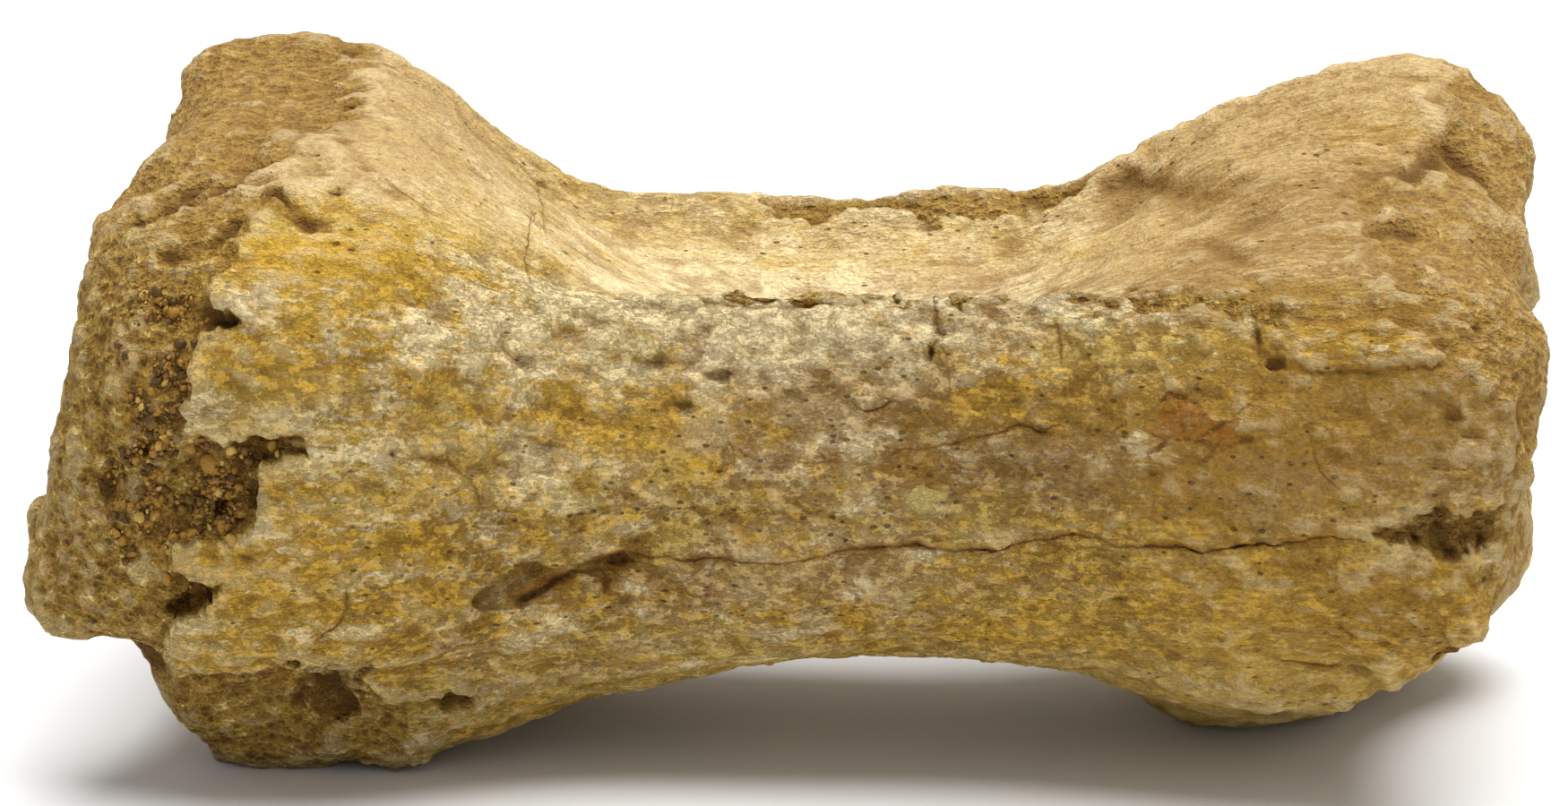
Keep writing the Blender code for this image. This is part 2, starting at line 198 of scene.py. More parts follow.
CRUST_EDGE_RIGHT: Pixels = (
    (1620, 80), (1605, 120), (1590, 145), (1570, 178), (1512, 190), (1500, 215), (1510, 240),
    (1530, 258), (1545, 300), (1560, 325), (1590, 345), (1605, 362), (1618, 378), (1622, 395),
    (1640, 420), (1640, 450), (1630, 460), (1665, 470), (1675, 485), (1680, 500), (1685, 520),
    (1690, 535), (1680, 560), (1675, 600), (1660, 650), (1640, 705), (1600, 730), (1555, 730),
    (1545, 745), (1510, 752), (1515, 770), (1500, 785),
)


class Family(Enum):
    """The families of lines, each with the attribute that holds it, so that crossing lines don't mix."""

    LENGTHWISE = "ink_lengthwise"
    CROSS = "ink_cross"


class Furrow(NamedTuple):
    """A crack or groove along a path of pixels, with its half width and depth in millimetres, and
    how strongly its line is drawn. Paths of one family stay a millimetre apart."""

    name: str
    path: Pixels
    width: float
    depth: float
    ink: float
    family: Family = Family.LENGTHWISE


FURROWS = (
    Furrow("long crack", (
        (700, 622), (732, 621), (761, 625), (803, 622), (832, 627), (869, 627), (915, 623), (939, 615),
        (989, 612), (1027, 610), (1056, 615), (1105, 615), (1150, 604), (1188, 598), (1227, 600),
        (1250, 611), (1276, 612), (1349, 615), (1395, 609), (1441, 606), (1483, 600), (1536, 604),
    ), 0.12, 0.38, 1.0),
    Furrow("upper thin crack", (
        (940, 453), (954, 453), (965, 459), (985, 457), (992, 450), (1004, 446),
    ), 0.1, 0.2, 0.8),
    Furrow("middle thin crack", (
        (985, 509), (1010, 501), (1035, 502), (1055, 497), (1085, 489), (1110, 485), (1126, 480),
        (1137, 475), (1150, 477), (1163, 480), (1178, 476), (1196, 478),
    ), 0.1, 0.2, 0.75),
    Furrow("pale thin crack", (
        (862, 519), (880, 515), (892, 518), (906, 516), (930, 515), (946, 512),
    ), 0.08, 0.12, 0.45),
    Furrow("ridge flake line", (
        (772, 329), (795, 337), (812, 340), (850, 343), (880, 341), (905, 339), (935, 342), (962, 343),
    ), 0.18, 0.35, 0.6),
    Furrow("ridge flake line, right", (
        (985, 345), (1001, 343), (1007, 346), (1016, 341), (1030, 340),
    ), 0.12, 0.25, 0.7),
    Furrow("right break line", (
        (1424, 404), (1440, 411), (1470, 412), (1486, 419), (1504, 415), (1540, 412), (1580, 410),
        (1600, 408), (1617, 401),
    ), 0.12, 0.3, 0.6),
    Furrow("lower right slit", (
        (1380, 726), (1405, 732), (1430, 740), (1470, 748), (1500, 752),
    ), 0.17, 0.3, 0.7),
    Furrow("small right slit", ((1488, 699), (1500, 707), (1510, 713), (1524, 715)), 0.18, 0.3, 0.6),
    Furrow("keel thread", ((1178, 720), (1200, 715), (1216, 714), (1240, 715)), 0.09, 0.1, 0.6),
    Furrow("lobe slit", (
        (178, 686), (190, 680), (210, 672), (232, 663), (246, 655), (256, 648),
    ), 0.2, 0.7, 0.8),
    Furrow("upper slit", ((262, 500), (292, 497), (312, 495), (330, 489), (344, 497)), 0.26, 0.6, 0.8),
    Furrow("left flank crease", (
        (432, 493), (440, 508), (470, 513), (499, 516), (510, 524), (524, 534), (533, 552), (548, 574),
    ), 0.1, 0.16, 0.45),
    Furrow("flank lines", ((262, 623), (290, 618), (318, 609), (340, 592), (352, 583)), 0.1, 0.12, 0.5),
    Furrow("upper flare thread", (
        (425, 191), (442, 205), (463, 221), (486, 237), (500, 243),
    ), 0.12, 0.18, 0.5),
    Furrow("ridge hair", ((505, 310), (530, 318), (556, 326), (584, 329)), 0.08, 0.1, 0.5),
    Furrow("right flank hair", ((1232, 484), (1250, 478), (1262, 474)), 0.08, 0.1, 0.5),
    Furrow("scar tail", ((450, 715), (462, 708), (470, 698)), 0.3, 0.2, 0.3),
    # The edges of the scar are dark lines drawn where the scar's step throws its shadow: painted shadow, over
    # shallow grooves.
    Furrow("edge of the scar", (
        (584, 681), (580, 673), (598, 664), (616, 653), (634, 645), (646, 637),
    ), 0.4, 0.2, 1.0),
    Furrow("edge of the scar, right", ((656, 634), (668, 631), (690, 628), (706, 625)), 0.4, 0.2, 1.0),
    Furrow("edge of the scar, low", ((668, 642), (677, 651), (674, 664)), 0.35, 0.15, 0.8),

    Furrow("wide cross crack", ((1041, 334), (1043, 350), (1044, 366), (1047, 378), (1042, 386), (1038, 397)),
           0.16, 0.35, 0.7, Family.CROSS),
    Furrow("wide cross crack, tail", ((1047, 378), (1056, 392), (1059, 414), (1062, 433), (1052, 446)),
           0.09, 0.12, 0.4, Family.CROSS),
    Furrow("second cross crack", ((1173, 352), (1181, 366), (1184, 380), (1183, 396), (1182, 412)),
           0.12, 0.25, 0.8, Family.CROSS),
    Furrow("left cross crack", ((602, 203), (606, 224), (610, 262)), 0.12, 0.12, 0.45, Family.CROSS),
    Furrow("left cross hair", ((597, 232), (590, 262), (586, 290), (590, 308), (596, 324)),
           0.1, 0.15, 0.6, Family.CROSS),
    Furrow("hanging crack", (
        (384, 652), (388, 668), (385, 686), (376, 701), (362, 711), (350, 721),
    ), 0.11, 0.22, 0.75, Family.CROSS),
    Furrow("right cross crack", (
        (1436, 458), (1448, 462), (1457, 476), (1463, 492),
        (1468, 510), (1472, 526), (1484, 536), (1500, 550),
    ), 0.13, 0.18, 0.55, Family.CROSS),
    Furrow("ridge top hair", ((872, 362), (874, 378)), 0.07, 0.08, 0.5, Family.CROSS),
    Furrow("ridge top hair, right", ((902, 372), (895, 386)), 0.07, 0.08, 0.5, Family.CROSS),
    Furrow("narrow groove of the left crest", ((378, 150), (392, 162), (404, 176), (420, 190)),
           0.5, 0.35, 0.3, Family.CROSS),
    Furrow("flake slot", ((308, 212), (322, 226), (340, 245), (352, 258), (361, 264)),
           0.22, 0.5, 0.6, Family.CROSS),
)


# The dark strokes of the orange stain on the near wall, drawn only in colour.
STAIN_STROKES: tuple[Pixels, ...] = (
    ((1287, 457), (1306, 440)),
    ((1306, 440), (1330, 446)),
    ((1330, 446), (1343, 457)),
    ((1315, 444), (1320, 480)),
    ((1297, 460), (1345, 462)),
    ((1271, 476), (1302, 492)),
    ((1303, 490), (1282, 508)),
    ((1342, 484), (1378, 468)),
    ((1375, 466), (1412, 438)),
    ((1321, 489), (1362, 498)),
    ((1362, 498), (1406, 489)),
    ((1345, 513), (1363, 490)),
)


class Valley(NamedTuple):
    """A broad groove along a path of pixels, with its half width, depth and how dark it is painted, which is
    painted shade in the groove as well as its own dark colour.
    """

    name: str
    path: Pixels
    width: float
    depth: float
    dark: float


VALLEYS = (
    Valley("cleft of the left crest", (
        (128, 246), (160, 236), (190, 222), (240, 207), (300, 200),
    ), 0.8, 0.9, 0.5),
    Valley("hole end of the cleft", ((176, 226), (195, 212), (214, 204), (228, 207)), 1.0, 0.9, 0.7),
    Valley("second cleft", ((165, 288), (200, 282), (232, 270), (262, 252), (276, 244)), 0.6, 0.8, 0.6),
    Valley("shadow under the flake", ((242, 342), (252, 358), (268, 367)), 0.55, 0.7, 0.7),
    Valley("gap left of the sand", ((110, 520), (112, 548), (104, 575)), 0.9, 0.7, 0.5),
    Valley("left rim fold", ((108, 350), (100, 390), (104, 430), (96, 470)), 0.8, 0.5, 0.3),
    Valley("groove under the right knob", (
        (1508, 196), (1530, 192), (1552, 184), (1574, 190),
        (1600, 178), (1614, 168), (1630, 182), (1648, 192),
        (1668, 210), (1682, 226),
    ), 0.85, 0.7, 0.65),
    Valley("upper knob dent", ((1582, 150), (1598, 146), (1612, 152)), 0.5, 0.4, 0.5),
    Valley("right streak groove", ((1520, 262), (1548, 257), (1580, 250)), 0.6, 0.4, 0.5),
    Valley("right streak groove, lower", ((1600, 268), (1622, 280), (1640, 292)), 0.6, 0.4, 0.4),
    Valley("base of the right ridge", (
        (1388, 352), (1404, 362), (1424, 350), (1448, 352), (1480, 360),
    ), 0.5, 0.25, 0.45),
    Valley("recess of the right flare", ((1218, 208), (1250, 200), (1290, 203), (1330, 216)), 1.1, 0.6, 0.4),
    Valley("recess of the right flare, lower", ((1338, 258), (1366, 280), (1394, 292)), 0.8, 0.45, 0.35),
    Valley("brown recess of the right end", ((1682, 212), (1686, 226), (1684, 238)), 0.7, 0.4, 0.5),
    Valley("foramen fold", ((712, 407), (735, 405), (755, 400), (772, 402), (790, 400)), 0.35, 0.25, 0.25),
)


class Pit(NamedTuple):
    """A hole at a pixel, with its half width along and across the bone, its depth and darkness."""

    name: str
    pixel: Pixel
    along: float
    across: float
    depth: float
    dark: float


PITS = (
    Pit("pit of the wide cross crack", (1039, 393), 0.4, 0.45, 0.4, 0.8),
    Pit("lens pit", (798, 421), 0.85, 0.36, 0.3, 0.3),
    Pit("small lens pit", (760, 454), 0.7, 0.25, 0.3, 0.25),
    Pit("brown lens pit", (698, 556), 0.6, 0.25, 0.25, 0.6),
    Pit("flare pit", (378, 212), 0.24, 0.22, 0.3, 1.0),
    Pit("flank pit", (436, 507), 0.42, 0.3, 0.4, 1.0),
    Pit("flank speck", (342, 532), 0.16, 0.14, 0.2, 0.9),
    Pit("low pit", (465, 730), 0.2, 0.24, 0.3, 1.0),
    Pit("thin speck", (408, 590), 0.24, 0.12, 0.2, 0.8),
    Pit("flare hollow", (481, 289), 0.34, 0.26, 0.35, 0.7),
    Pit("right lens pit", (1246, 669), 0.55, 0.24, 0.35, 0.8),
    Pit("slit pit", (1357, 617), 0.75, 0.14, 0.2, 0.5),
    Pit("ridge end pit", (1403, 376), 0.35, 0.6, 0.5, 0.75),
    Pit("ridge end pit, lower", (1426, 405), 0.5, 0.3, 0.4, 0.7),
    Pit("ridge notch", (1261, 326), 0.42, 0.5, 0.7, 0.7),
    Pit("ridge pit, right", (1602, 408), 0.3, 0.25, 0.2, 0.5),
    Pit("rim pit", (1650, 365), 0.4, 0.5, 0.3, 0.4),
    Pit("rim pit, middle", (1643, 487), 0.5, 0.3, 0.2, 0.35),
    Pit("rim star pit", (1625, 463), 0.6, 0.3, 0.25, 0.5),
    Pit("speck of the middle crack", (1136, 476), 0.25, 0.16, 0.2, 0.9),
    Pit("second speck of the middle crack", (1164, 480), 0.28, 0.15, 0.2, 0.9),
    Pit("keel speck", (956, 707), 0.4, 0.14, 0.15, 0.8),
    Pit("stain speck", (1235, 461), 0.3, 0.2, 0.1, 0.7),
    Pit("ridge speck", (883, 349), 0.24, 0.12, 0.1, 0.6),
    Pit("sand hole", (160, 502), 0.4, 0.35, 0.9, 1.0),
    Pit("middle hole", (242, 565), 0.75, 0.6, 1.2, 1.0),
    Pit("tall hole", (281, 552), 0.28, 0.85, 0.8, 0.9),
    Pit("end of the upper slit", (316, 495), 0.7, 0.3, 0.8, 0.9),
    Pit("cavity under the flake", (308, 212), 0.5, 0.4, 0.7, 1.0),
    Pit("right cavity, dark start", (1549, 593), 0.5, 0.22, 0.4, 1.0),
    Pit("right cavity, middle", (1582, 604), 0.4, 0.3, 0.6, 1.0),
    Pit("right cavity, low", (1618, 617), 0.45, 0.25, 0.6, 0.9),
    Pit("right cavity, high", (1606, 588), 0.4, 0.25, 0.5, 0.9),
    Pit("right cavity, end", (1656, 604), 0.3, 0.5, 0.5, 0.9),
    Pit("upper left hole", (392, 112), 0.5, 0.35, 0.5, 0.7),
    Pit("upper left hole, middle", (320, 98), 0.45, 0.3, 0.5, 0.6),
    Pit("upper left hole, left", (280, 110), 0.4, 0.3, 0.4, 0.6),
    Pit("upper left hole, right", (345, 105), 0.35, 0.3, 0.4, 0.6),
    Pit("upper left hole, low", (225, 125), 0.4, 0.3, 0.4, 0.6),
    Pit("upper left speck", (290, 135), 0.3, 0.25, 0.3, 0.6),
    Pit("low left speck", (430, 805), 0.3, 0.2, 0.3, 0.8),
    Pit("smudge of the left flare", (604, 207), 0.4, 0.35, 0.15, 0.6),
    Pit("dot of the ridge", (666, 319), 0.2, 0.2, 0.1, 0.8),
    Pit("right low hole", (1545, 722), 0.35, 0.2, 0.12, 0.7),
)


class Plate(NamedTuple):
    """A patch inside an outline of pixels that stands above the skin (lift above 0) or below it."""

    name: str
    outline: Pixels
    lift: float


PLATES = (
    Plate("flake scar", (
        (524, 676), (535, 660), (552, 650), (570, 640), (584, 629),
        (600, 630), (610, 638), (628, 642), (645, 634),
        (664, 626), (690, 623), (714, 620), (705, 630), (684, 638),
        (680, 660), (674, 666), (668, 646), (655, 641),
        (640, 643), (626, 650), (610, 661), (596, 671), (588, 680), (560, 681), (540, 683),
    ), -0.35),
    Plate("scar floor, right", ((664, 640), (684, 641), (700, 672), (672, 672)), -0.15),
    Plate("peeled layer", (
        (290, 520), (300, 532), (345, 545), (372, 553), (388, 549), (400, 537), (420, 540), (445, 550),
        (460, 563), (480, 566), (505, 575), (520, 560), (512, 530),
        (470, 510), (430, 500), (380, 498), (330, 506),
    ), 0.16),
    Plate("keel ledge flake", (
        (440, 787), (490, 780), (512, 776), (532, 783), (530, 796), (490, 800), (452, 801),
    ), -0.3),
    Plate("right ridge flake", (
        (1424, 404), (1470, 413), (1540, 413), (1600, 409),
        (1618, 400), (1600, 372), (1540, 352), (1480, 372),
        (1430, 384),
    ), 0.28),
    Plate("pale flake of the left flare", (
        (243, 322), (262, 300), (290, 290), (310, 310), (312, 340), (290, 362), (262, 356), (246, 340),
    ), 0.12),
)


class Trim(NamedTuple):
    """A lump (height above 0) or a cut on the outline that the photograph shows, at a pixel on it."""

    name: str
    pixel: Pixel
    height: float
    spread: float


TRIMS = (
    Trim("corner of the left crest", (208, 84), 0.7, 1.6),
    Trim("left shoulder", (90, 284), -0.6, 1.0),
    Trim("top of the left flare", (440, 54), -0.6, 2.0),
    Trim("tip of the left lobe", (14, 618), -0.9, 1.5),
    Trim("brow of the left lobe", (44, 572), 0.8, 1.2),
    Trim("belly of the left lobe", (72, 684), 1.7, 1.8),
    Trim("step under the left lobe", (142, 722), -1.6, 1.3),
    Trim("lower left corner", (216, 842), -1.0, 1.4),
    Trim("notch behind the left pad", (442, 861), -1.7, 1.7),
    Trim("keel, left", (640, 792), -0.5, 3.0),
    Trim("keel, right", (1140, 731), 0.6, 3.0),
    Trim("shoulder of the right knob", (1650, 66), -0.8, 2.6),
    Trim("right rim, high", (1702, 330), 1.0, 1.1),
    Trim("right rim, notch", (1712, 548), -0.9, 0.9),
    Trim("right rim, low", (1618, 736), -0.5, 1.4),
)


class Crumbled(NamedTuple):
    """A patch inside an outline of pixels where the crust has crumbled away to spongy bone, with its depth
    and its darkness, which is painted shade in the hollow as well as its own dark colour.
    """

    name: str
    outline: Pixels
    depth: float
    dark: float


CRUMBLED = (
    Crumbled("right cavity", (
        (1528, 600), (1545, 588), (1572, 584), (1600, 576),
        (1640, 574), (1680, 564), (1676, 586), (1668, 602),
        (1652, 618), (1640, 612), (1628, 630), (1606, 624), (1590, 612), (1570, 608), (1545, 604),
    ), 0.5, 0.38),
    Crumbled("sand hollow", (
        (130, 500), (180, 482), (240, 502), (290, 503), (282, 590), (205, 606), (150, 592), (112, 556),
    ), 0.1, 0.3),
    Crumbled("broken crest", (
        (772, 323), (900, 319), (1040, 321), (1140, 319), (1160, 311), (1230, 313), (1262, 325), (1340, 323),
        (1430, 344), (1436, 362), (1402, 360), (1345, 346),
        (1262, 341), (1200, 331), (1135, 331), (1062, 334),
        (1050, 333), (960, 337), (880, 336), (782, 333),
    ), 0.18, 0.0),
    Crumbled("greenish ledge hollow", (
        (322, 756), (348, 750), (378, 748), (400, 760), (404, 775), (396, 800), (360, 805), (330, 790),
    ), 0.5, 0.5),
)

# The orange stain on the near wall, a star of ragged arms.
STAR_STAIN: Pixels = (
    (1277, 478), (1300, 474), (1292, 462), (1303, 448), (1312, 440), (1322, 446), (1340, 452), (1350, 462),
    (1352, 472), (1372, 470), (1388, 460), (1384, 474), (1378, 486), (1403, 490), (1385, 498), (1368, 500),
    (1356, 513), (1350, 500), (1336, 496), (1318, 494), (1305, 498), (1290, 508), (1296, 492), (1284, 486),
)
PALE_SPLASH: Pixels = (
    (1022, 545), (1028, 538), (1036, 546), (1050, 548), (1068, 549), (1056, 557), (1042, 560), (1040, 570),
    (1026, 576), (1014, 566), (1010, 552),
)


class Tone(Enum):
    """The tones that lie over the tan of the crust, each a channel of the tones attribute. The pale and brown
    channels also hold painted top light and painted underside shade.
    """

    PALE = 0
    OCHRE = 1
    MAUVE = 2
    BROWN = 3


class Blotch(NamedTuple):
    """A soft patch round a pixel, with its half width along and across in pixels, and its strength."""

    name: str
    pixel: Pixel
    along: float
    across: float
    strength: float

    def off(self, pixels: Array) -> Array:
        """Gives how far pixels lie from the middle, in half widths, squared."""
        return np.sum(((pixels - self.pixel) / (self.along, self.across)) ** 2, axis=-1)


BLOTCHES = {
    Tone.PALE: (
        Blotch("pale ridge face", (720, 350), 190, 28, 0.3),
        Blotch("white of the ridge face", (905, 375), 100, 34, 0.55),
        Blotch("pale lower flare", (600, 740), 130, 40, 0.12),
        Blotch("pale ridge", (560, 375), 130, 40, 0.3),
        Blotch("pale end flake", (278, 330), 35, 35, 0.4),
        Blotch("pale left flank", (420, 500), 120, 28, 0.3),
        Blotch("pale upper flake", (345, 205), 45, 35, 0.3),
        Blotch("pale lower lobe", (260, 700), 70, 25, 0.12),
        Blotch("pale right of the middle", (1290, 350), 120, 25, 0.2),
        Blotch("pale right flare", (1480, 320), 90, 40, 0.05),
        Blotch("pale flake beside the star", (1270, 500), 30, 18, 0.4),
        Blotch("pale of the right shoulder", (1560, 385), 50, 16, 0.2),
        Blotch("pale over the keel", (860, 640), 110, 25, 0.12),
        # These four make the right flare, wall and knob less pale: painted shade as well as a duller colour.
        Blotch("darker right flare", (1500, 240), 150, 80, -0.16),
        Blotch("pale wall right of the star", (1470, 500), 90, 40, -0.2),
        Blotch("dull right wall", (1480, 570), 260, 110, -0.12),
        Blotch("duller right knob", (1560, 120), 100, 50, -0.1),
    ),
    Tone.OCHRE: (
        Blotch("golden upper left", (400, 325), 110, 55, 0.55),
        Blotch("golden band", (330, 370), 90, 40, 0.4),
        Blotch("orange grit", (420, 385), 80, 25, 0.35),
        Blotch("ochre of the left flank", (330, 600), 90, 60, 0.3),
        Blotch("ochre patch, middle", (720, 450), 110, 40, 0.3),
        Blotch("ochre patch", (1140, 450), 60, 25, 0.5),
        Blotch("ochre of the low right", (1350, 660), 170, 40, 0.3),
        Blotch("ochre of the right lobe", (1560, 680), 90, 45, 0.25),
        Blotch("yellow of the knob", (1545, 155), 60, 25, 0.3),
        Blotch("orange of the right ridge", (1480, 385), 120, 25, 0.35),
        Blotch("ochre of the right wall", (1540, 470), 120, 50, 0.3),
        Blotch("ochre of the right panel", (1330, 540), 130, 40, 0.15),
        Blotch("orange spots of the ridge", (875, 380), 16, 8, 0.4),
        Blotch("orange spot of the left flare", (380, 370), 14, 8, 0.4),
        Blotch("orange spots of the middle", (730, 450), 34, 18, 0.4),
        Blotch("yellow of the low left", (480, 655), 120, 60, 0.25),
        Blotch("ochre keel band", (1060, 700), 110, 16, 0.35),
        Blotch("ochre left of the middle", (560, 470), 110, 60, 0.2),
        Blotch("warm low left", (340, 650), 150, 90, 0.25),
        Blotch("warm star side", (1330, 470), 90, 40, 0.15),
        Blotch("warm middle left", (560, 560), 130, 60, 0.12),
    ),
    Tone.MAUVE: (
        Blotch("mauve of the ridge", (950, 400), 120, 45, 0.5),
        Blotch("mauve middle", (1000, 520), 130, 40, 0.4),
        Blotch("mauve left of the middle", (850, 440), 90, 50, 0.3),
        Blotch("mauve of the low middle", (1000, 640), 190, 40, 0.25),
        Blotch("mauve low left", (760, 660), 110, 30, 0.2),
        Blotch("mauve right", (1200, 520), 90, 30, 0.3),
        Blotch("mauve right wall", (1460, 530), 90, 30, 0.25),
        Blotch("mauve ridge right", (1150, 350), 90, 25, 0.3),
        Blotch("mauve lower flare", (600, 750), 110, 30, 0.2),
        Blotch("grey of the right end", (1670, 380), 80, 160, 0.35),
        Blotch("less grey on the left flare", (390, 340), 120, 60, -0.35),
        Blotch("less grey low left", (340, 650), 150, 90, -0.45),
    ),
    Tone.BROWN: (
        Blotch("brown middle", (1060, 490), 90, 35, 0.4),
        Blotch("brown of the middle left", (980, 430), 90, 25, 0.25),
        Blotch("brown right of the middle", (1170, 500), 60, 22, 0.35),
        Blotch("brown right wall", (1500, 460), 150, 60, 0.4),
        Blotch("brown of the right panel", (1330, 540), 130, 50, 0.28),
        Blotch("brown of the right end", (1660, 380), 70, 150, 0.2),
        Blotch("brown of the low right", (1430, 660), 160, 40, 0.2),
        Blotch("brown round the star", (1340, 470), 90, 40, 0.25),
        Blotch("brown of the right flare", (1560, 260), 80, 60, 0.2),
        Blotch("brown left of the star", (1240, 400), 90, 30, 0.15),
        Blotch("brown scar", (610, 655), 90, 22, 0.3),
        Blotch("broken ridge", (1130, 330), 230, 15, 0.5),
        Blotch("broken ridge, right", (1380, 345), 90, 22, 0.4),
        # These two darken round the recesses of the right flare: painted shade as well as brown.
        Blotch("round the recess of the right flare", (1300, 210), 90, 22, 0.4),
        Blotch("round the lower recess", (1370, 285), 50, 16, 0.35),
        Blotch("tan right flare", (1480, 190), 170, 90, 0.16),
        Blotch("tan of the right end", (1560, 400), 110, 90, 0.12),
        Blotch("tan of the left crest", (300, 110), 110, 60, 0.2),
        Blotch("brown of the left low flank", (430, 700), 70, 30, 0.2),
        Blotch("brown right corner", (1560, 700), 90, 40, 0.15),
        # This darkens the whole right wall: painted shade as well as browner colour.
        Blotch("brown of the whole right wall", (1480, 570), 260, 110, 0.2),
    ),
}
# Where pores crowd on the near wall.
POROUS = (
    Blotch("pores of the middle left", (700, 540), 190, 75, 0.22),
    Blotch("pores of the right panel", (1330, 545), 190, 50, 0.2),
)
# Where sand sticks, with how likely it is at the middle.
SANDY = (
    Blotch("along the near rim", (195, 400), 50, 70, 1.0),
    Blotch("in the hollow", (200, 540), 75, 60, 2.0),
)


# Array helpers

def smooth_step(low: float, high: float, value: Array) -> Array:
    """Gives 0 below low and 1 above high, with level ends between.

    Args:
        low: Where the rise starts.
        high: Where it ends.
        value: The values to shape.

    Returns:
        An array like value, from 0 to 1.
    """
    t = np.clip((value - low) / (high - low), 0.0, 1.0)
    return t * t * (3.0 - 2.0 * t)


def between(edges: tuple[float, float, float, float], value: Array) -> Array:
    """Gives 1 between the second and the third of four edges, falling to 0 at the first and the last."""
    return smooth_step(edges[0], edges[1], value) * smooth_step(-edges[3], -edges[2], -value)


def hashed(cell: Array, seed: int) -> Array:
    """Gives each whole-numbered cell a fixed value from 0 to 1.

    Args:
        cell: Whole numbers, three to a cell on the last axis.
        seed: Picks another set of values.

    Returns:
        One value for each cell.
    """
    mixed = np.bitwise_xor.reduce(cell * (73856093, 19349663, 83492791), axis=-1) ^ (seed * 2654435761)
    mixed = (mixed ^ (mixed >> 13)) * 1274126177 & 0x7FFFFFFF
    return ((mixed ^ (mixed >> 16)) & 0xFFFF) / 65535.0


def lattice_noise(points: Array, size: float, seed: int) -> Array:
    """Smooth noise: hashed values at the corners of cubes, blended between the corners.

    Args:
        points: Points, three numbers each.
        size: The cubes' side.
        seed: Picks another noise.

    Returns:
        A value from -1 to 1 for each point.
    """
    scaled = points / size
    cell = np.floor(scaled).astype(np.int64)
    blend = scaled - cell
    blend = blend * blend * (3 - 2 * blend)
    total = np.zeros(points.shape[:-1])
    for corner in np.ndindex(2, 2, 2):
        weight = np.prod(np.where(corner, blend, 1 - blend), axis=-1)
        total += weight * (hashed(cell + corner, seed) * 2 - 1)
    return total


def rough_noise(points: Array, size: float, seed: int, layers: int = 3) -> Array:
    """Lattice noise in layers, each half the size and half the strength of the one before."""
    total = sum(lattice_noise(points, size / 2**k, seed + k) / 2**k for k in range(layers))
    return total / (2 - 0.5 ** (layers - 1))


def cell_noise(points: Array, size: float, seed: int) -> tuple[Array, Array]:
    """Distances to the nearest two of a set of scattered points, one to each cube.

    Args:
        points: Points, three numbers each.
        size: The cubes' side.
        seed: Picks another set of scattered points.

    Returns:
        The distance to the nearest point and to the next, in cubes' sides.
    """
    scaled = points / size
    cell = np.floor(scaled).astype(np.int64)
    nearest = np.full(points.shape[:-1], 9.0)
    second = nearest.copy()
    for offset in np.ndindex(3, 3, 3):
        other = cell + offset - 1
        centre = other + np.stack([hashed(other, seed + k) for k in range(3)], axis=-1)
        away = np.linalg.norm(centre - scaled, axis=-1)
        second = np.minimum(second, np.maximum(nearest, away))
        nearest = np.minimum(nearest, away)
    return nearest, second


def through_rails(values: tuple[float, ...], position: Array) -> Array:
    """Reads a smooth closed curve through one value for each rail, at positions in rails."""
    value = np.asarray(values, float)
    index = np.floor(position).astype(int)
    t = position - index
    before, here, after, beyond = (value[(index + k) % RAIL_COUNT] for k in (-1, 0, 1, 2))
    bend = 2 * before - 5 * here + 4 * after - beyond + t * (3 * (here - after) + beyond - before)
    return here + 0.5 * t * (after - before + t * bend)


def round_the_bone(pairs: tuple, position: Array) -> Array:
    """Reads straight runs through (rail number, value) pairs, closed round the bone."""
    rails, values = np.array(pairs, float).T
    rails = np.append(rails, rails[0] + RAIL_COUNT)
    return np.interp(position, rails, np.append(values, values[0]), period=RAIL_COUNT)


def rail_distance(position: Array, rail: float) -> Array:
    """Gives how many rails lie between two positions, the short way round."""
    return (position - rail + RAIL_COUNT / 2) % RAIL_COUNT - RAIL_COUNT / 2


def outward(skin: Array) -> Array:
    """Works out unit normals of a grid of rings, pointing out of the bone.

    The normal is the cross product of the step round the ring and the step along the bone.
    """
    along = np.gradient(skin, axis=0)
    round_ring = np.roll(skin, -1, axis=1) - np.roll(skin, 1, axis=1)
    normal = np.cross(round_ring, along)
    normal[[0, -1]] = 0.0
    normal[0, :, 0], normal[-1, :, 0] = -1.0, 1.0
    normal /= np.maximum(np.linalg.norm(normal, axis=-1, keepdims=True), 1e-12)
    facing = np.sum(normal * (skin - skin.mean(axis=(0, 1))), axis=-1)
    return normal if facing.sum() > 0 else -normal


def soften(field_: Array, passes: int) -> Array:
    """Blurs a field on the grid: each pass averages a point with its four neighbours."""
    for _ in range(passes):
        padded = np.concatenate([field_[:1], field_, field_[-1:]])
        field_ = 0.2 * (
            field_ + padded[2:] + padded[:-2] + np.roll(field_, 1, axis=1) + np.roll(field_, -1, axis=1)
        )
    return field_


def inside_distance(points: Array, outline: Array) -> Array:
    """Distance from each 2-D point to a closed outline, above 0 inside it and below 0 outside.

    Args:
        points: Points, two numbers each.
        outline: The outline's corners in order.

    Returns:
        The signed distance of each point.
    """
    nearest = np.full(points.shape[:-1], np.inf)
    inside = np.zeros(points.shape[:-1], bool)
    for start, end in zip(outline, np.roll(outline, -1, axis=0)):
        run = end - start
        share = np.clip((points - start) @ run / max(run @ run, 1e-9), 0, 1)
        nearest = np.minimum(nearest, np.linalg.norm(points - start - share[..., None] * run, axis=-1))
        crosses = (start[1] > points[..., 1]) != (end[1] > points[..., 1])
        rise = run[1] if run[1] else 1e-9
        inside ^= crosses & (points[..., 0] < start[0] + (points[..., 1] - start[1]) * run[0] / rise)
    return np.where(inside, nearest, -nearest)


def add_to_scene(name: str, data: Any) -> bpy.types.Object:
    """Makes an object of a mesh, a camera or a light, at the scene's origin."""
    made = bpy.data.objects.new(name, data)
    bpy.context.scene.collection.objects.link(made)
    return made


# The camera of the photograph

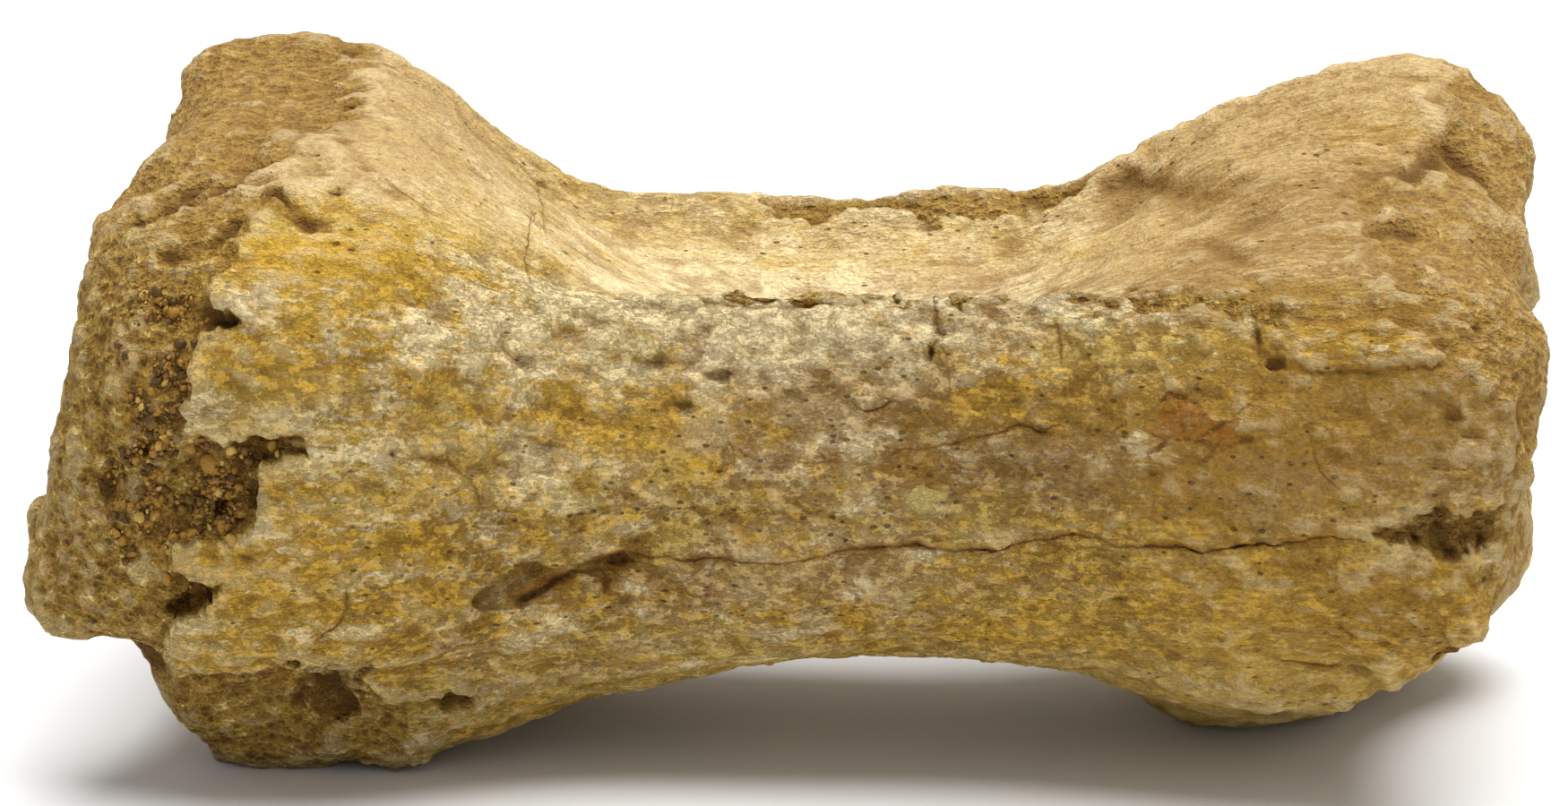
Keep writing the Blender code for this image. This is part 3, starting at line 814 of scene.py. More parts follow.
@dataclass(frozen=True)
class PhotoCamera:
    """Where the photograph was taken from, in the bone's frame, with its focal length in pixels."""

    azimuth: float = 5.0
    elevation: float = 15.0
    distance: float = 300.0
    target: tuple[float, float, float] = (-1.2, -0.1, 20.95)
    focal: float = 5300.0
    image: tuple[int, int] = (1750, 900)
    sensor: float = 36.0
    clip: tuple[float, float] = (0.01, 50.0)

    @property
    def back(self) -> Array:
        """The unit vector from the target to the camera."""
        turn, rise = math.radians(self.azimuth), math.radians(self.elevation)
        return np.array([math.sin(turn) * math.cos(rise), -math.cos(turn) * math.cos(rise), math.sin(rise)])

    @property
    def place(self) -> Array:
        """The camera's place, in millimetres."""
        return np.array(self.target) + self.back * self.distance

    @property
    def axes(self) -> tuple[Array, Array]:
        """The unit vectors to the right and up in the picture."""
        right = np.cross(-self.back, (0.0, 0.0, 1.0))
        right /= np.linalg.norm(right)
        return right, np.cross(right, -self.back)

    @property
    def pixel_size(self) -> float:
        """The size of a pixel at the target, in millimetres."""
        return self.distance / self.focal

    def project(self, points: Array) -> tuple[Array, Array]:
        """Gives each point's pixel and its depth from the camera."""
        away = points - self.place
        right, up = self.axes
        depth = away @ -self.back
        across = self.image[0] / 2 + self.focal * (away @ right) / depth
        down = self.image[1] / 2 - self.focal * (away @ up) / depth
        return np.stack([across, down], axis=-1), depth

    def ray(self, pixel: Pixel) -> Array:
        """Gives the unit direction of the ray through a pixel."""
        right, up = self.axes
        way = -self.back * self.focal
        way = way + right * (pixel[0] - self.image[0] / 2) - up * (pixel[1] - self.image[1] / 2)
        return way / np.linalg.norm(way)

    def facing(self, points: Array, normals: Array) -> Array:
        """Gives how squarely each point faces the camera, from -1 to 1."""
        to_camera = self.place - points
        return np.sum(normals * to_camera, axis=-1) / np.linalg.norm(to_camera, axis=-1)

    def build(self) -> bpy.types.Object:
        """Makes the Blender camera and makes it the scene's own."""
        data = bpy.data.cameras.new("photo_camera")
        data.sensor_width = self.sensor
        data.lens = self.sensor * self.focal / self.image[0]
        data.clip_start, data.clip_end = self.clip
        camera = add_to_scene("photo_camera", data)
        camera.location = self.place * MM
        camera.rotation_euler = Vector(self.back).to_track_quat("Z", "Y").to_euler()
        bpy.context.scene.camera = camera
        return camera


# The skin

@dataclass(frozen=True)
class CentrumForm:
    """The sculpted form of the centrum, worked out with the solid's own formulas on a finer grid."""

    columns: int = 284
    body_rings: int = 214
    cap_rings: int = 66
    near_crowding: float = 0.35
    rim_crowding: float = 1.6
    cap_box: tuple[float, float] = (3.2, 2.7)
    cap_profile: tuple[float, float] = (10.0, 20.0)
    flare_full: float = 0.84
    flare_foot: tuple[float, float] = (1.25, 1.0)
    grain_radius: float = 17.5
    face_blend: tuple[float, float] = (0.15, 0.8)
    face_dish: float = 4.0
    face_dish_reach: float = 0.8
    crust_thickness: float = 1.1
    crust_swell_left: tuple[float, float] = (9.0, 26.0)
    crust_swell_right: tuple[float, float] = (33.0, 43.0)
    boss_start: tuple[float, float] = (34.0, 43.0)
    ledge_setback: float = 2.3
    ledge_edge: tuple[float, float] = (9.0, 11.2)
    ledge_start: tuple[float, float] = (33.0, 41.0)
    ledge_slope: float = 0.12
    arch_rails: tuple[float, float] = (3.1, 7.9)
    arch_span: tuple[float, float] = (-6.0, 21.0)
    arch_depth: float = 0.55
    rest_shift: tuple[float, float, float] = (-1.2, -0.1, -0.35)

    def position(self) -> Array:
        """Gives each column's place in rails, with columns a little closer on the near side."""
        share = np.arange(self.columns) / self.columns
        return RAIL_COUNT * share + self.near_crowding * np.sin(2 * math.pi * share)

    def cap_turns(self, box: float) -> Array:
        """Gives the turn of each cap ring from the rim to the face's middle.

        Rings lie along the cap's profile by its length, closer near the rim than at the middle.
        """
        turn = np.linspace(0.0, math.pi / 2, 2000)
        out = np.sin(turn) ** (2 / box) * self.cap_profile[0]
        width = np.abs(np.cos(turn)) ** (2 / box) * self.cap_profile[1]
        length = np.concatenate([[0], np.cumsum(np.hypot(np.diff(out), np.diff(width)))])
        step = np.linspace(0.0, 1.0, self.cap_rings + 1)
        crowd = (step + (self.rim_crowding - 1) * step**2) / self.rim_crowding
        return np.interp(crowd * length[-1], length, turn)

    def cap(self, turns: Array, rim: list[Array], reach: Array, side: int, box: float) -> Array:
        """Works out the rings of one end cap.

        The rim is pulled inward along a superellipse as it reaches out, and the face is dished.

        Args:
            turns: Each ring's turn, 0 at the rim and a quarter turn at the middle.
            rim: The rim's x, y and z in each column.
            reach: How far the cap reaches past the rim in each column.
            side: -1 at the left end and 1 at the right.
            box: The superellipse's power.

        Returns:
            Points by rings and columns.
        """
        out = (np.sin(turns) ** (2 / box))[:, None]
        width = (np.clip(np.cos(turns), 0, 1) ** (2 / box))[:, None]
        width[-1] = 0.0
        x, y, z = rim
        face_x = np.mean(x + side * reach)
        own = smooth_step(*self.face_blend, width)
        dish = self.face_dish * np.maximum(0.0, 1 - (width / self.face_dish_reach) ** 2) ** 1.5
        ring_x = (x + side * reach * out) * own + face_x * (1 - own) - side * dish
        ring_y, ring_z = (across.mean() + (across - across.mean()) * width for across in (y, z))
        return np.stack([ring_x, ring_y, ring_z], axis=-1)

    def flare(self, x: Array, start: Array, end: Array, foot: float) -> Array:
        """Gives 0 where a flare starts and 1 at its widest, full before the end."""
        share = np.clip((x - start) / (end - start) / self.flare_full, 0.0, 1.0)
        return smooth_step(0.0, 1.0, share**foot)

    def lofted(self) -> tuple[Array, Array]:
        """Lofts the smooth skin through the rails, from face to face.

        Returns:
            Points by rings and columns, and for each ring the cosine of its cap turn.
        """
        position = self.position()

        def read(part: str) -> list[Array]:
            """Reads each number of a part of the rails, such as the waist, in every column."""
            numbers = zip(*(getattr(rail, part) for rail in RAILS))
            return [through_rails(values, position) for values in numbers]

        waist_y, waist_z = read("waist")
        left, right = read("left"), read("right")
        start_left, start_right = read("start")
        reach_left, reach_right = read("cap")
        turns_left, turns_right = (self.cap_turns(box) for box in self.cap_box)

        share = (np.arange(1, self.body_rings) / self.body_rings)[:, None]
        x = left[0] + (right[0] - left[0]) * share
        to_left = self.flare(x, start_left, left[0], self.flare_foot[0])
        to_right = self.flare(x, start_right, right[0], self.flare_foot[1])
        y = waist_y + (left[1] - waist_y) * to_left + (right[1] - waist_y) * to_right
        z = waist_z + (left[2] - waist_z) * to_left + (right[2] - waist_z) * to_right
        skin = np.concatenate([
            self.cap(turns_left, left, reach_left, -1, self.cap_box[0])[::-1],
            np.stack([x, y, z], axis=-1),
            self.cap(turns_right, right, reach_right, 1, self.cap_box[1]),
        ])
        cosine = np.concatenate([np.cos(turns_left)[::-1], np.ones(self.body_rings - 1), np.cos(turns_right)])
        for boss in BOSSES:
            reach = smooth_step(*self.boss_start, boss.side * skin[..., 0])
            off_y = (skin[..., 1] - boss.y) / boss.spread_y
            off_z = (skin[..., 2] - boss.z) / boss.spread_z
            away = off_y**2 + off_z**2
            skin[..., 0] += boss.side * boss.push * reach * np.exp(-away / 2)
        height = skin[..., 2] + 1.8 * lattice_noise(skin, 8.0, 7) - self.ledge_slope * (skin[..., 1] + 15)
        below_ledge = 1 - smooth_step(*self.ledge_edge, height)
        skin[..., 0] += self.ledge_setback * below_ledge * smooth_step(*self.ledge_start, -skin[..., 0])
        return skin, cosine[:, None]


class Skin:
    """The grid of the bone's skin, with what is known of each of its points."""

    def __init__(self, form: CentrumForm, camera: PhotoCamera) -> None:
        """Lofts the skin and finds how far past the crust's broken edge each point lies.

        Args:
            form: The centrum's form.
            camera: The photograph's camera.
        """
        self.form = form
        self.camera = camera
        self.points, self.cosine = form.lofted()
        self.shape = self.points.shape[:2]
        self.position = np.broadcast_to(form.position(), self.shape)
        self.grain = self.straightened()
        self.look()
        self.past_edge = self.past_crust_edge()

    def look(self) -> None:
        """Works out the normals, the pixels and how each point faces the camera."""
        self.normals = outward(self.points)
        resting = self.points + self.form.rest_shift
        self.pixels, self.depth = self.camera.project(resting)
        self.facing = self.camera.facing(resting, self.normals)

    def seen(self) -> Array:
        """Gives 1 where the skin faces the photograph's camera, falling to 0 where it turns away."""
        return smooth_step(0.02, 0.2, self.facing)

    def wall(self) -> Array:
        """Gives each point's place on the near wall as photographed, in millimetres.

        The far side is set back, out of reach of what is drawn on the near wall.
        """
        set_back = 40 * (1 - self.seen())
        return np.concatenate([self.pixels * self.camera.pixel_size, set_back[..., None]], axis=-1)

    def straightened(self) -> Array:
        """Gives grain coordinates: the length along each column, and the rail as a round tube.

        A pattern read from them follows the bone, fans out on the flares and has no seam. On the
        end faces the tube closes to a point.
        """
        step = np.linalg.norm(np.diff(self.points, axis=0), axis=-1)
        length = np.concatenate([np.zeros((1, self.shape[1])), np.cumsum(step, axis=0)])
        length -= length[self.shape[0] // 2]
        own = smooth_step(*self.form.face_blend, self.cosine)
        length = length * own + length.mean(axis=1, keepdims=True) * (1 - own)
        turn = self.position * 2 * math.pi / RAIL_COUNT
        tube = self.form.grain_radius * self.cosine**0.75
        return np.stack([length, tube * np.cos(turn), tube * np.sin(turn)], axis=-1)

    def past_crust_edge(self) -> Array:
        """Works out how far each point lies past the crust's edge, in millimetres.

        The edge is the photograph's where the skin faces the camera, and the solid's own elsewhere.
        """
        x = self.points[..., 0]
        shown = smooth_step(0.1, 0.3, self.facing)
        wide, high = self.camera.image
        size = self.camera.pixel_size
        past = []
        edges = ((-1, CRUST_EDGE_LEFT, CRUST_END_LEFT), (1, CRUST_EDGE_RIGHT, CRUST_END_RIGHT))
        for side, edge, ends in edges:
            beyond = wide / 2 + side * 1.5 * wide
            corners = ((edge[-1][0], 2 * high), (beyond, 2 * high), (beyond, -high), (edge[0][0], -high))
            photo = inside_distance(self.pixels, np.array(edge + corners, float))
            rails = side * (x - round_the_bone(ends, self.position))
            past.append(shown * photo * size + (1 - shown) * rails)
        return np.maximum(*past)

    def off_face(self, inner: float, outer: float) -> Array:
        """Gives 1 along the body, falling to 0 on the end faces between two shares of their size."""
        return np.broadcast_to(smooth_step(inner, outer, self.cosine), self.shape)

    def under_pixel(self, pixel: Pixel) -> Array:
        """Finds the point of the skin that is seen at a pixel.

        The nearest point of the grid in front gives a plane, and the pixel's ray is cut with it.

        Args:
            pixel: The pixel's x and y.

        Returns:
            The point, in the frame of the unshifted skin.
        """
        away = np.linalg.norm(self.pixels - pixel, axis=-1) + np.where(self.facing > 0.04, 0, BARRED)
        close = away < max(away.min() + 4, 9)
        front = self.depth[close].min()
        away = away + np.where(self.depth < front + 2.5, 0, BARRED)
        nearest = np.unravel_index(np.argmin(away), self.shape)
        start = self.camera.place - np.array(self.form.rest_shift)
        way = self.camera.ray(pixel)
        normal, anchor = self.normals[nearest], self.points[nearest]
        slant = way @ normal
        if slant > -0.12:
            return anchor
        return start + way * ((anchor - start) @ normal / slant)

    def path(self, pixels: Pixels) -> Array:
        """Carries a path of pixels on to the skin."""
        return np.array([self.under_pixel(pixel) for pixel in pixels])


class PathField(NamedTuple):
    """How each point of the skin lies beside a path: its signed distance, and the distance along the
    path from its nearer end. Points further than a few millimetres off count as far away."""

    side_distance: Array
    from_end: Array


def beside_path(skin: Skin, path: Array, margin: float = 3.5) -> PathField:
    """Measures each point of the skin against a path lying on it.

    The distance is to the nearest straight run, signed by the side of the run that the point is on,
    as seen from outside the bone.

    Args:
        skin: The skin.
        path: The path's points.
        margin: How far round the path the points are measured.

    Returns:
        The measures, as arrays like the skin's grid.
    """
    low, high = path.min(axis=0) - margin, path.max(axis=0) + margin
    close = np.all((skin.points > low) & (skin.points < high), axis=-1)
    points, normals = skin.points[close], skin.normals[close]
    nearest = np.full(len(points), np.inf)
    signed, along = np.full(len(points), 99.0), np.zeros(len(points))
    travelled = 0.0
    for start, end in zip(path[:-1], path[1:]):
        run = end - start
        length = np.linalg.norm(run)
        away = points - start
        inside = np.clip(away @ run / length**2, 0, 1)
        miss = away - inside[:, None] * run
        distance = np.linalg.norm(miss, axis=-1)
        side = np.sign(np.sum(np.cross(run, miss) * normals, axis=-1) + 1e-12)
        closer = distance < nearest
        nearest = np.where(closer, distance, nearest)
        signed = np.where(closer, distance * side, signed)
        along = np.where(closer, travelled + inside * length, along)
        travelled += length
    whole = PathField(np.full(skin.shape, 99.0), np.zeros(skin.shape))
    whole.side_distance[close] = signed
    whole.from_end[close] = np.minimum(along, travelled - along)
    return whole


# The relief

class Relief:
    """The fine relief of the skin and the fields that the finish reads from it."""

    FAMILY_REACH = (0.7, 1.3)
    OUTLINE_REACH = 2.0
    LEAST_WIDTH = 0.24
    TOP_RAILS = (1.5, 3.0, 7.4, 8.2)
    TROUGH_RAILS = (3.2, 4.2, 6.8, 7.8)
    # Flaked layers: the size and seed of each one's noise, the level that it is cut at, and its depth.
    FLAKED = (
        (6.5, 100, 0.1, 0.18),
        (4.0, 104, -0.1, 0.14),
        (2.8, 108, 0.12, 0.14),
        (2.0, 144, -0.05, 0.1),
        (1.5, 148, 0.08, 0.1),
    )

    def __init__(self, skin: Skin) -> None:
        """Starts from a skin with no relief.

        Args:
            skin: The skin that is carved.
        """
        self.skin = skin
        self.ink = {family: np.zeros((*skin.shape, 3)) for family in Family}
        self.nearest = {family: np.full(skin.shape, np.inf) for family in Family}
        self.dark, self.spongy, self.crumbled, self.cavity = np.zeros((4, *skin.shape))
        self.plate_edge, self.star, self.splash = np.full((3, *skin.shape), NOTHING)
        self.tones, self.traits = np.zeros((2, *skin.shape, 4))
        self.pit = np.zeros((*skin.shape, 3))
        self.pit[..., 0] = NOTHING
        points = skin.points
        self.wander = 1.7 * rough_noise(points, 1.1, 60)
        self.vary = rough_noise(points, 2.3, 61)
        self.ragged = rough_noise(points, 0.9, 64)

    def carve(self) -> Array:
        """Carves everything, coarse before fine.

        Returns:
            The carved points, resting on the ground.
        """
        self.push_out(self.sculpted_height())
        self.push_out(self.placed_height())
        self.push_out(self.fine_height())
        self.colour_blotches()
        self.find_cavities()
        points = self.skin.points
        points[[0, -1]] = points[[0, -1]].mean(axis=1, keepdims=True)
        resting = points + self.skin.form.rest_shift
        resting[..., 2] = np.maximum(resting[..., 2], 0.0)
        return resting

    def push_out(self, height: Array) -> None:
        """Moves the skin out along its normals."""
        self.skin.points = self.skin.points + self.skin.normals * height[..., None]
        self.skin.look()

    def sculpted_height(self) -> Array:
        """Works out the solid's own relief: crust steps, spots, lumps and the arch's base.

        The crust's edge is a crisp step where the photograph shows one. The rest of its thickness
        fades over a few millimetres, as it does on the upper left and on the right end.
        """
        skin, form = self.skin, self.skin.form
        points, x = skin.points, skin.points[..., 0]
        blurred = np.maximum(smooth_step(33.5, 37.0, points[..., 2]) * (x < 0), smooth_step(20.0, 30.0, x))
        ragged = 0.6 * rough_noise(points, 1.2, 50) + (0.5 + 1.6 * blurred) * rough_noise(points, 3.4, 53)
        past = skin.past_edge + ragged
        self.past = past
        crisp = smooth_step(-0.1, 0.25, past)
        faded = smooth_step(-1.2, 2.6, past)
        off_rim = 1 - skin.off_face(0.55, 0.8)
        self.spongy = np.maximum(crisp * (1 - blurred) + faded * blurred, off_rim)
        step = np.clip(0.5 + 0.6 * self.vary, 0.1, 0.9) * (1 - blurred)
        thinned = step * crisp + (1 - step) * smooth_step(-0.6, 3.0, past)
        swell = smooth_step(*form.crust_swell_left, -x) + smooth_step(*form.crust_swell_right, x)
        height = form.crust_thickness * (swell - np.maximum(thinned, off_rim))
        off_face = skin.off_face(0.15, 0.6)
        for spot in SPOTS:
            miss = (x - spot.x) ** 2 + (4 * rail_distance(skin.position, spot.rail)) ** 2
            nearest = np.argmin(miss + 1e3 * (1 - off_face))
            centre = points[np.unravel_index(nearest, miss.shape)]
            away = (points - (spot.x, *centre[1:])) / (spot.spread_x, spot.spread_across, spot.spread_across)
            height = height + off_face * spot.height * np.exp(-np.sum(away**2, axis=-1) / 2)
        height += 0.35 * lattice_noise(points, 11.0, 1) + 0.16 * lattice_noise(points, 5.0, 2)
        height += self.spongy * (0.45 * lattice_noise(points, 5.5, 3) + 0.35 * lattice_noise(points, 3.2, 4))
        start, end = form.arch_span
        in_span = between((start - 2, start + 6, end - 6, end + 2), x)
        for rail in form.arch_rails:
            off = np.abs(rail_distance(skin.position, rail) + 0.3 * rough_noise(points, 5.0, 90))
            off += 0.3 * self.vary + 0.2 * self.ragged + 0.9 * (1 - in_span)
            strip = 1 - smooth_step(0.22, 0.46, off)
            height -= strip * form.arch_depth * (0.8 + 0.8 * lattice_noise(points, 3.0, 6))
            self.spongy = np.maximum(self.spongy, 0.75 * strip)
        return height

    def placed_height(self) -> Array:
        """Works out what the photograph places: furrows, valleys, pits, plates and crumbled patches."""
        height = np.zeros(self.skin.shape)
        for furrow in FURROWS:
            height -= self.furrow_depth(furrow)
        for valley in VALLEYS:
            height -= self.valley_depth(valley)
        for pit in PITS:
            height -= self.pit_depth(pit)
        for plate in PLATES:
            height += self.plate_lift(plate)
        for trim in TRIMS:
            height += self.trim_height(trim)
        for patch in CRUMBLED:
            inside = self.outline_field(patch.outline)
            shape = smooth_step(-0.15, 0.45, inside + 0.9 * self.ragged + 0.5 * self.vary)
            self.spongy = np.maximum(self.spongy, shape)
            self.crumbled = np.maximum(self.crumbled, shape)
            self.dark = np.maximum(self.dark, patch.dark * shape)
            height -= patch.depth * shape * (1 + 1.2 * self.vary + 0.8 * self.ragged)
        self.star = self.outline_field(STAR_STAIN)
        self.splash = self.outline_field(PALE_SPLASH)
        return height

    def trim_height(self, trim: Trim) -> Array:
        """Works out a lump on the outline: a bell round the point of the outline nearest its pixel."""
        skin = self.skin
        away = np.linalg.norm(skin.pixels - trim.pixel, axis=-1) + BARRED * (np.abs(skin.facing) > 0.3)
        centre = skin.points[np.unravel_index(np.argmin(away), skin.shape)]
        return trim.height * np.exp(-np.sum((skin.points - centre) ** 2, axis=-1) / 2 / trim.spread**2)

    def furrow_depth(self, furrow: Furrow) -> Array:
        """Works out the depth of a crack, and notes its line for the finish.

        The section is a bell with a least width that the grid can hold, and both ends taper.
        """
        skin = self.skin
        field_ = beside_path(skin, skin.path(furrow.path))
        side = field_.side_distance + 0.12 * self.wander + 0.1 * self.ragged
        taper = smooth_step(0.0, 0.8, field_.from_end)
        vary = 0.7 + 0.7 * self.vary + 0.5 * self.ragged
        strength = furrow.ink * taper * np.clip(vary, 0.2, 1.1)
        away = np.abs(field_.side_distance)
        reach = 1 - smooth_step(*self.FAMILY_REACH, away)
        closer = away < self.nearest[furrow.family]
        self.nearest[furrow.family] = np.where(closer, away, self.nearest[furrow.family])
        noted = np.stack([side, strength * reach, np.full(skin.shape, furrow.width)], axis=-1)
        self.ink[furrow.family] = np.where(closer[..., None], noted, self.ink[furrow.family])
        own_width = furrow.width * 1.2
        width = max(own_width, self.LEAST_WIDTH)
        depth = furrow.depth * np.clip(vary, 0.2, 1.2) * taper * min(1.0, own_width / width)
        return depth * np.exp(-((np.minimum(np.abs(side), 9) / width) ** 2))

    def valley_depth(self, valley: Valley) -> Array:
        """Works out the depth of a broad groove, and darkens it with painted shade as well as its own dark
        colour.
        """
        skin = self.skin
        field_ = beside_path(skin, skin.path(valley.path))
        side = np.minimum(np.abs(field_.side_distance + 0.35 * self.wander), 9)
        taper = smooth_step(-0.3, 1.2, field_.from_end)
        shape = np.exp(-((side / valley.width) ** 2)) * taper * (0.8 + 0.4 * self.vary)
        self.dark = np.maximum(self.dark, valley.dark * shape)
        return valley.depth * shape

    def pit_depth(self, pit: Pit) -> Array:
        """Works out the depth of a pit, a ragged bowl that follows the grain, and notes its edge."""
        skin = self.skin
        away = skin.points - skin.under_pixel(pit.pixel)
        across = np.hypot(away[..., 1], away[..., 2])
        distance = np.hypot(away[..., 0] / pit.along, across / pit.across)
        distance = distance * (1 + 0.9 * self.ragged)
        inside = (1 - distance) * min(pit.along, pit.across)
        closer = inside > self.pit[..., 0]
        noted = np.stack([inside, np.full(skin.shape, pit.dark), np.zeros(skin.shape)], axis=-1)
        self.pit = np.where(closer[..., None], noted, self.pit)
        return pit.depth * (1 - smooth_step(0.3, 1.35, distance))

    def outline_field(self, outline: Pixels) -> Array:
        """Gives the distance inside an outline of pixels on the near side, in millimetres."""
        skin = self.skin
        inside = inside_distance(skin.pixels, np.array(outline, float)) * skin.camera.pixel_size
        inside = np.clip(inside + 0.12 * self.ragged, -self.OUTLINE_REACH, self.OUTLINE_REACH)
        shown = smooth_step(0.05, 0.15, skin.facing) * (skin.position > NEAR_SIDE) * (skin.cosine > 0.68)
        return np.where(shown > 0.5, inside, -self.OUTLINE_REACH)

    def plate_lift(self, plate: Plate) -> Array:
        """Works out a plate's lift: full inside its outline, with a steep edge a cell wide."""
        inside = self.outline_field(plate.outline)
        if plate.lift < -0.3:
            self.plate_edge = np.maximum(self.plate_edge, inside)
        return plate.lift * smooth_step(-0.12, 0.2, inside)

    def fine_height(self) -> Array:
        """Works out the finest relief: flaked layers and fibres on the crust, and crumbled bone.

        Flaked layers are noise cut at a level, so each has a flat top and a steep, ragged edge. On
        the left end the crumbled bone is knobs and beads round scattered points. On the right end it
        is wrinkled along the grain.
        """
        skin, points = self.skin, self.skin.points
        crust = (1 - 0.7 * self.spongy) * (1 - 0.5 * self.in_trough())
        fibre = lattice_noise(skin.grain * (0.16, 1, 1), 0.9, 70)
        fibre += 0.6 * lattice_noise(skin.grain * (0.2, 1, 1), 0.5, 71)
        pocked = rough_noise(points * (0.7, 1, 1), 2.6, 72, 3)
        flaked = sum(
            depth * smooth_step(-0.035, 0.035, rough_noise(points * (0.6, 1, 1), size, seed) - level)
            for size, seed, level, depth in self.FLAKED
        )
        creased = -np.abs(rough_noise(points * (0.8, 1, 1), 1.7, 92, 3))
        worn = 1 + 1.2 * smooth_step(-3.5, -0.3, self.past)
        height = crust * (0.06 * fibre + worn * (0.16 * pocked + 0.3 * creased + 0.14 * self.ragged) + flaked)
        height -= 0.22
        warped = points + 0.5 * np.stack([rough_noise(points, 1.7, seed) for seed in (73, 75, 77)], axis=-1)
        near, second = cell_noise(warped, 1.9, 80)
        near_small, _ = cell_noise(warped, 0.95, 84)
        crumbs = 0.35 * (0.45 - near + 0.5 * (second - near)) + 0.3 * (0.4 - near_small)
        bent = skin.grain * (0.3, 1, 1) + 0.6 * self.wander[..., None]
        wrinkled = 0.32 - 0.8 * np.abs(rough_noise(bent, 1.6, 86))
        right = smooth_step(15.0, 28.0, points[..., 0])
        rough = crumbs * (1 - 0.7 * right) * (0.3 + 0.7 * self.openness()) + right * 0.55 * wrinkled
        height += self.spongy * (rough + 0.14 * rough_noise(points, 0.9, 88))
        return height

    def colour_blotches(self) -> None:
        """Fills each tone's channel: its named blotches, mottling in lumps of all sizes, and painted light:
        paler where the body faces up and browner where the skin faces down.
        """
        skin = self.skin
        shown = skin.seen()
        for tone, blotches in BLOTCHES.items():
            for blotch in blotches:
                self.tones[..., tone.value] += blotch.strength * shown * np.exp(-blotch.off(skin.pixels) / 2)
        fibrous = smooth_step(10.0, 26.0, np.abs(skin.points[..., 0] - 2.0))
        top = between(self.TOP_RAILS, skin.position)
        calm = 1 - np.maximum(0.6 * top, 0.45 * smooth_step(5.0, 20.0, skin.points[..., 0]))
        for tone in Tone:
            seed = 110 + 10 * tone.value
            drift = rough_noise(skin.grain * (0.5, 1, 1), 7.0, seed, 3)
            flecks = rough_noise(skin.grain * (0.85, 1, 1), 1.9, seed + 4, 2)
            streaks = rough_noise(skin.grain * (0.28, 1, 1), 1.6, seed + 7, 2)
            mottle = flecks * (1 - 0.5 * fibrous) + streaks * (0.2 + 0.5 * fibrous)
            self.tones[..., tone.value] += calm * ((0.22 + 0.3 * (1 - shown)) * drift + 0.46 * mottle)
        # The tones also follow which way the skin faces. Along the body, surfaces facing up are paler:
        # painted top light. Near the ends, surfaces facing up are less pale, and spongy bone facing up is
        # browner. Surfaces facing down are browner: painted underside shade.
        upward = skin.normals[..., 2]
        ends = smooth_step(15.0, 32.0, np.abs(skin.points[..., 0]) + 3 * rough_noise(skin.points, 6.0, 168))
        pale = (0.2 - 0.5 * ends) * smooth_step(0.2, 0.9, upward) - 0.06 - 0.4 * self.spongy
        self.tones[..., Tone.PALE.value] += pale + 0.05 * self.in_trough() * (1 - self.spongy) * (1 - ends)
        self.tones[..., Tone.MAUVE.value] += top * (0.26 + 0.24 * ends)
        self.tones[..., Tone.OCHRE.value] -= 0.14 * top
        self.tones[..., Tone.BROWN.value] += 0.5 * self.spongy * smooth_step(-0.2, 0.8, upward)
        self.tones[..., Tone.BROWN.value] += 0.05 - 0.1 * smooth_step(-0.2, 0.6, upward) + 0.12 * top * ends
        porous = sum(patch.strength * shown * np.exp(-patch.off(skin.pixels) / 2) for patch in POROUS)
        porous += 0.12 + 0.2 * rough_noise(skin.grain * (0.5, 1, 1), 6.0, 160)
        keen = 0.76 - 0.4 * top
        self.traits = np.stack([porous, fibrous, self.openness(), keen], axis=-1)

    def in_trough(self) -> Array:
        """Gives 1 between the two ridges on top and 0 outside them."""
        return between(self.TROUGH_RAILS, self.skin.position)

    def openness(self) -> Array:
        """Works out how open the spongy bone and how broken the crust is, from 0.2 to 1."""
        x, _, z = np.moveaxis(self.skin.points, -1, 0)
        high = np.maximum(smooth_step(31.0, 36.0, z), self.in_trough())
        opened = 0.85 - 0.45 * high - 0.5 * smooth_step(15.0, 30.0, x)
        opened += 0.35 * rough_noise(self.skin.points, 4.0, 166) + 0.6 * self.crumbled
        return np.clip(opened, 0.2, 1.0)

    def find_cavities(self) -> None:
        """Finds how far each point lies below (above 0) or above its surroundings."""
        skin = self.skin
        level = np.stack([soften(skin.points[..., axis], 14) for axis in range(3)], axis=-1)
        self.cavity = -np.sum((skin.points - level) * skin.normals, axis=-1)


# Meshes

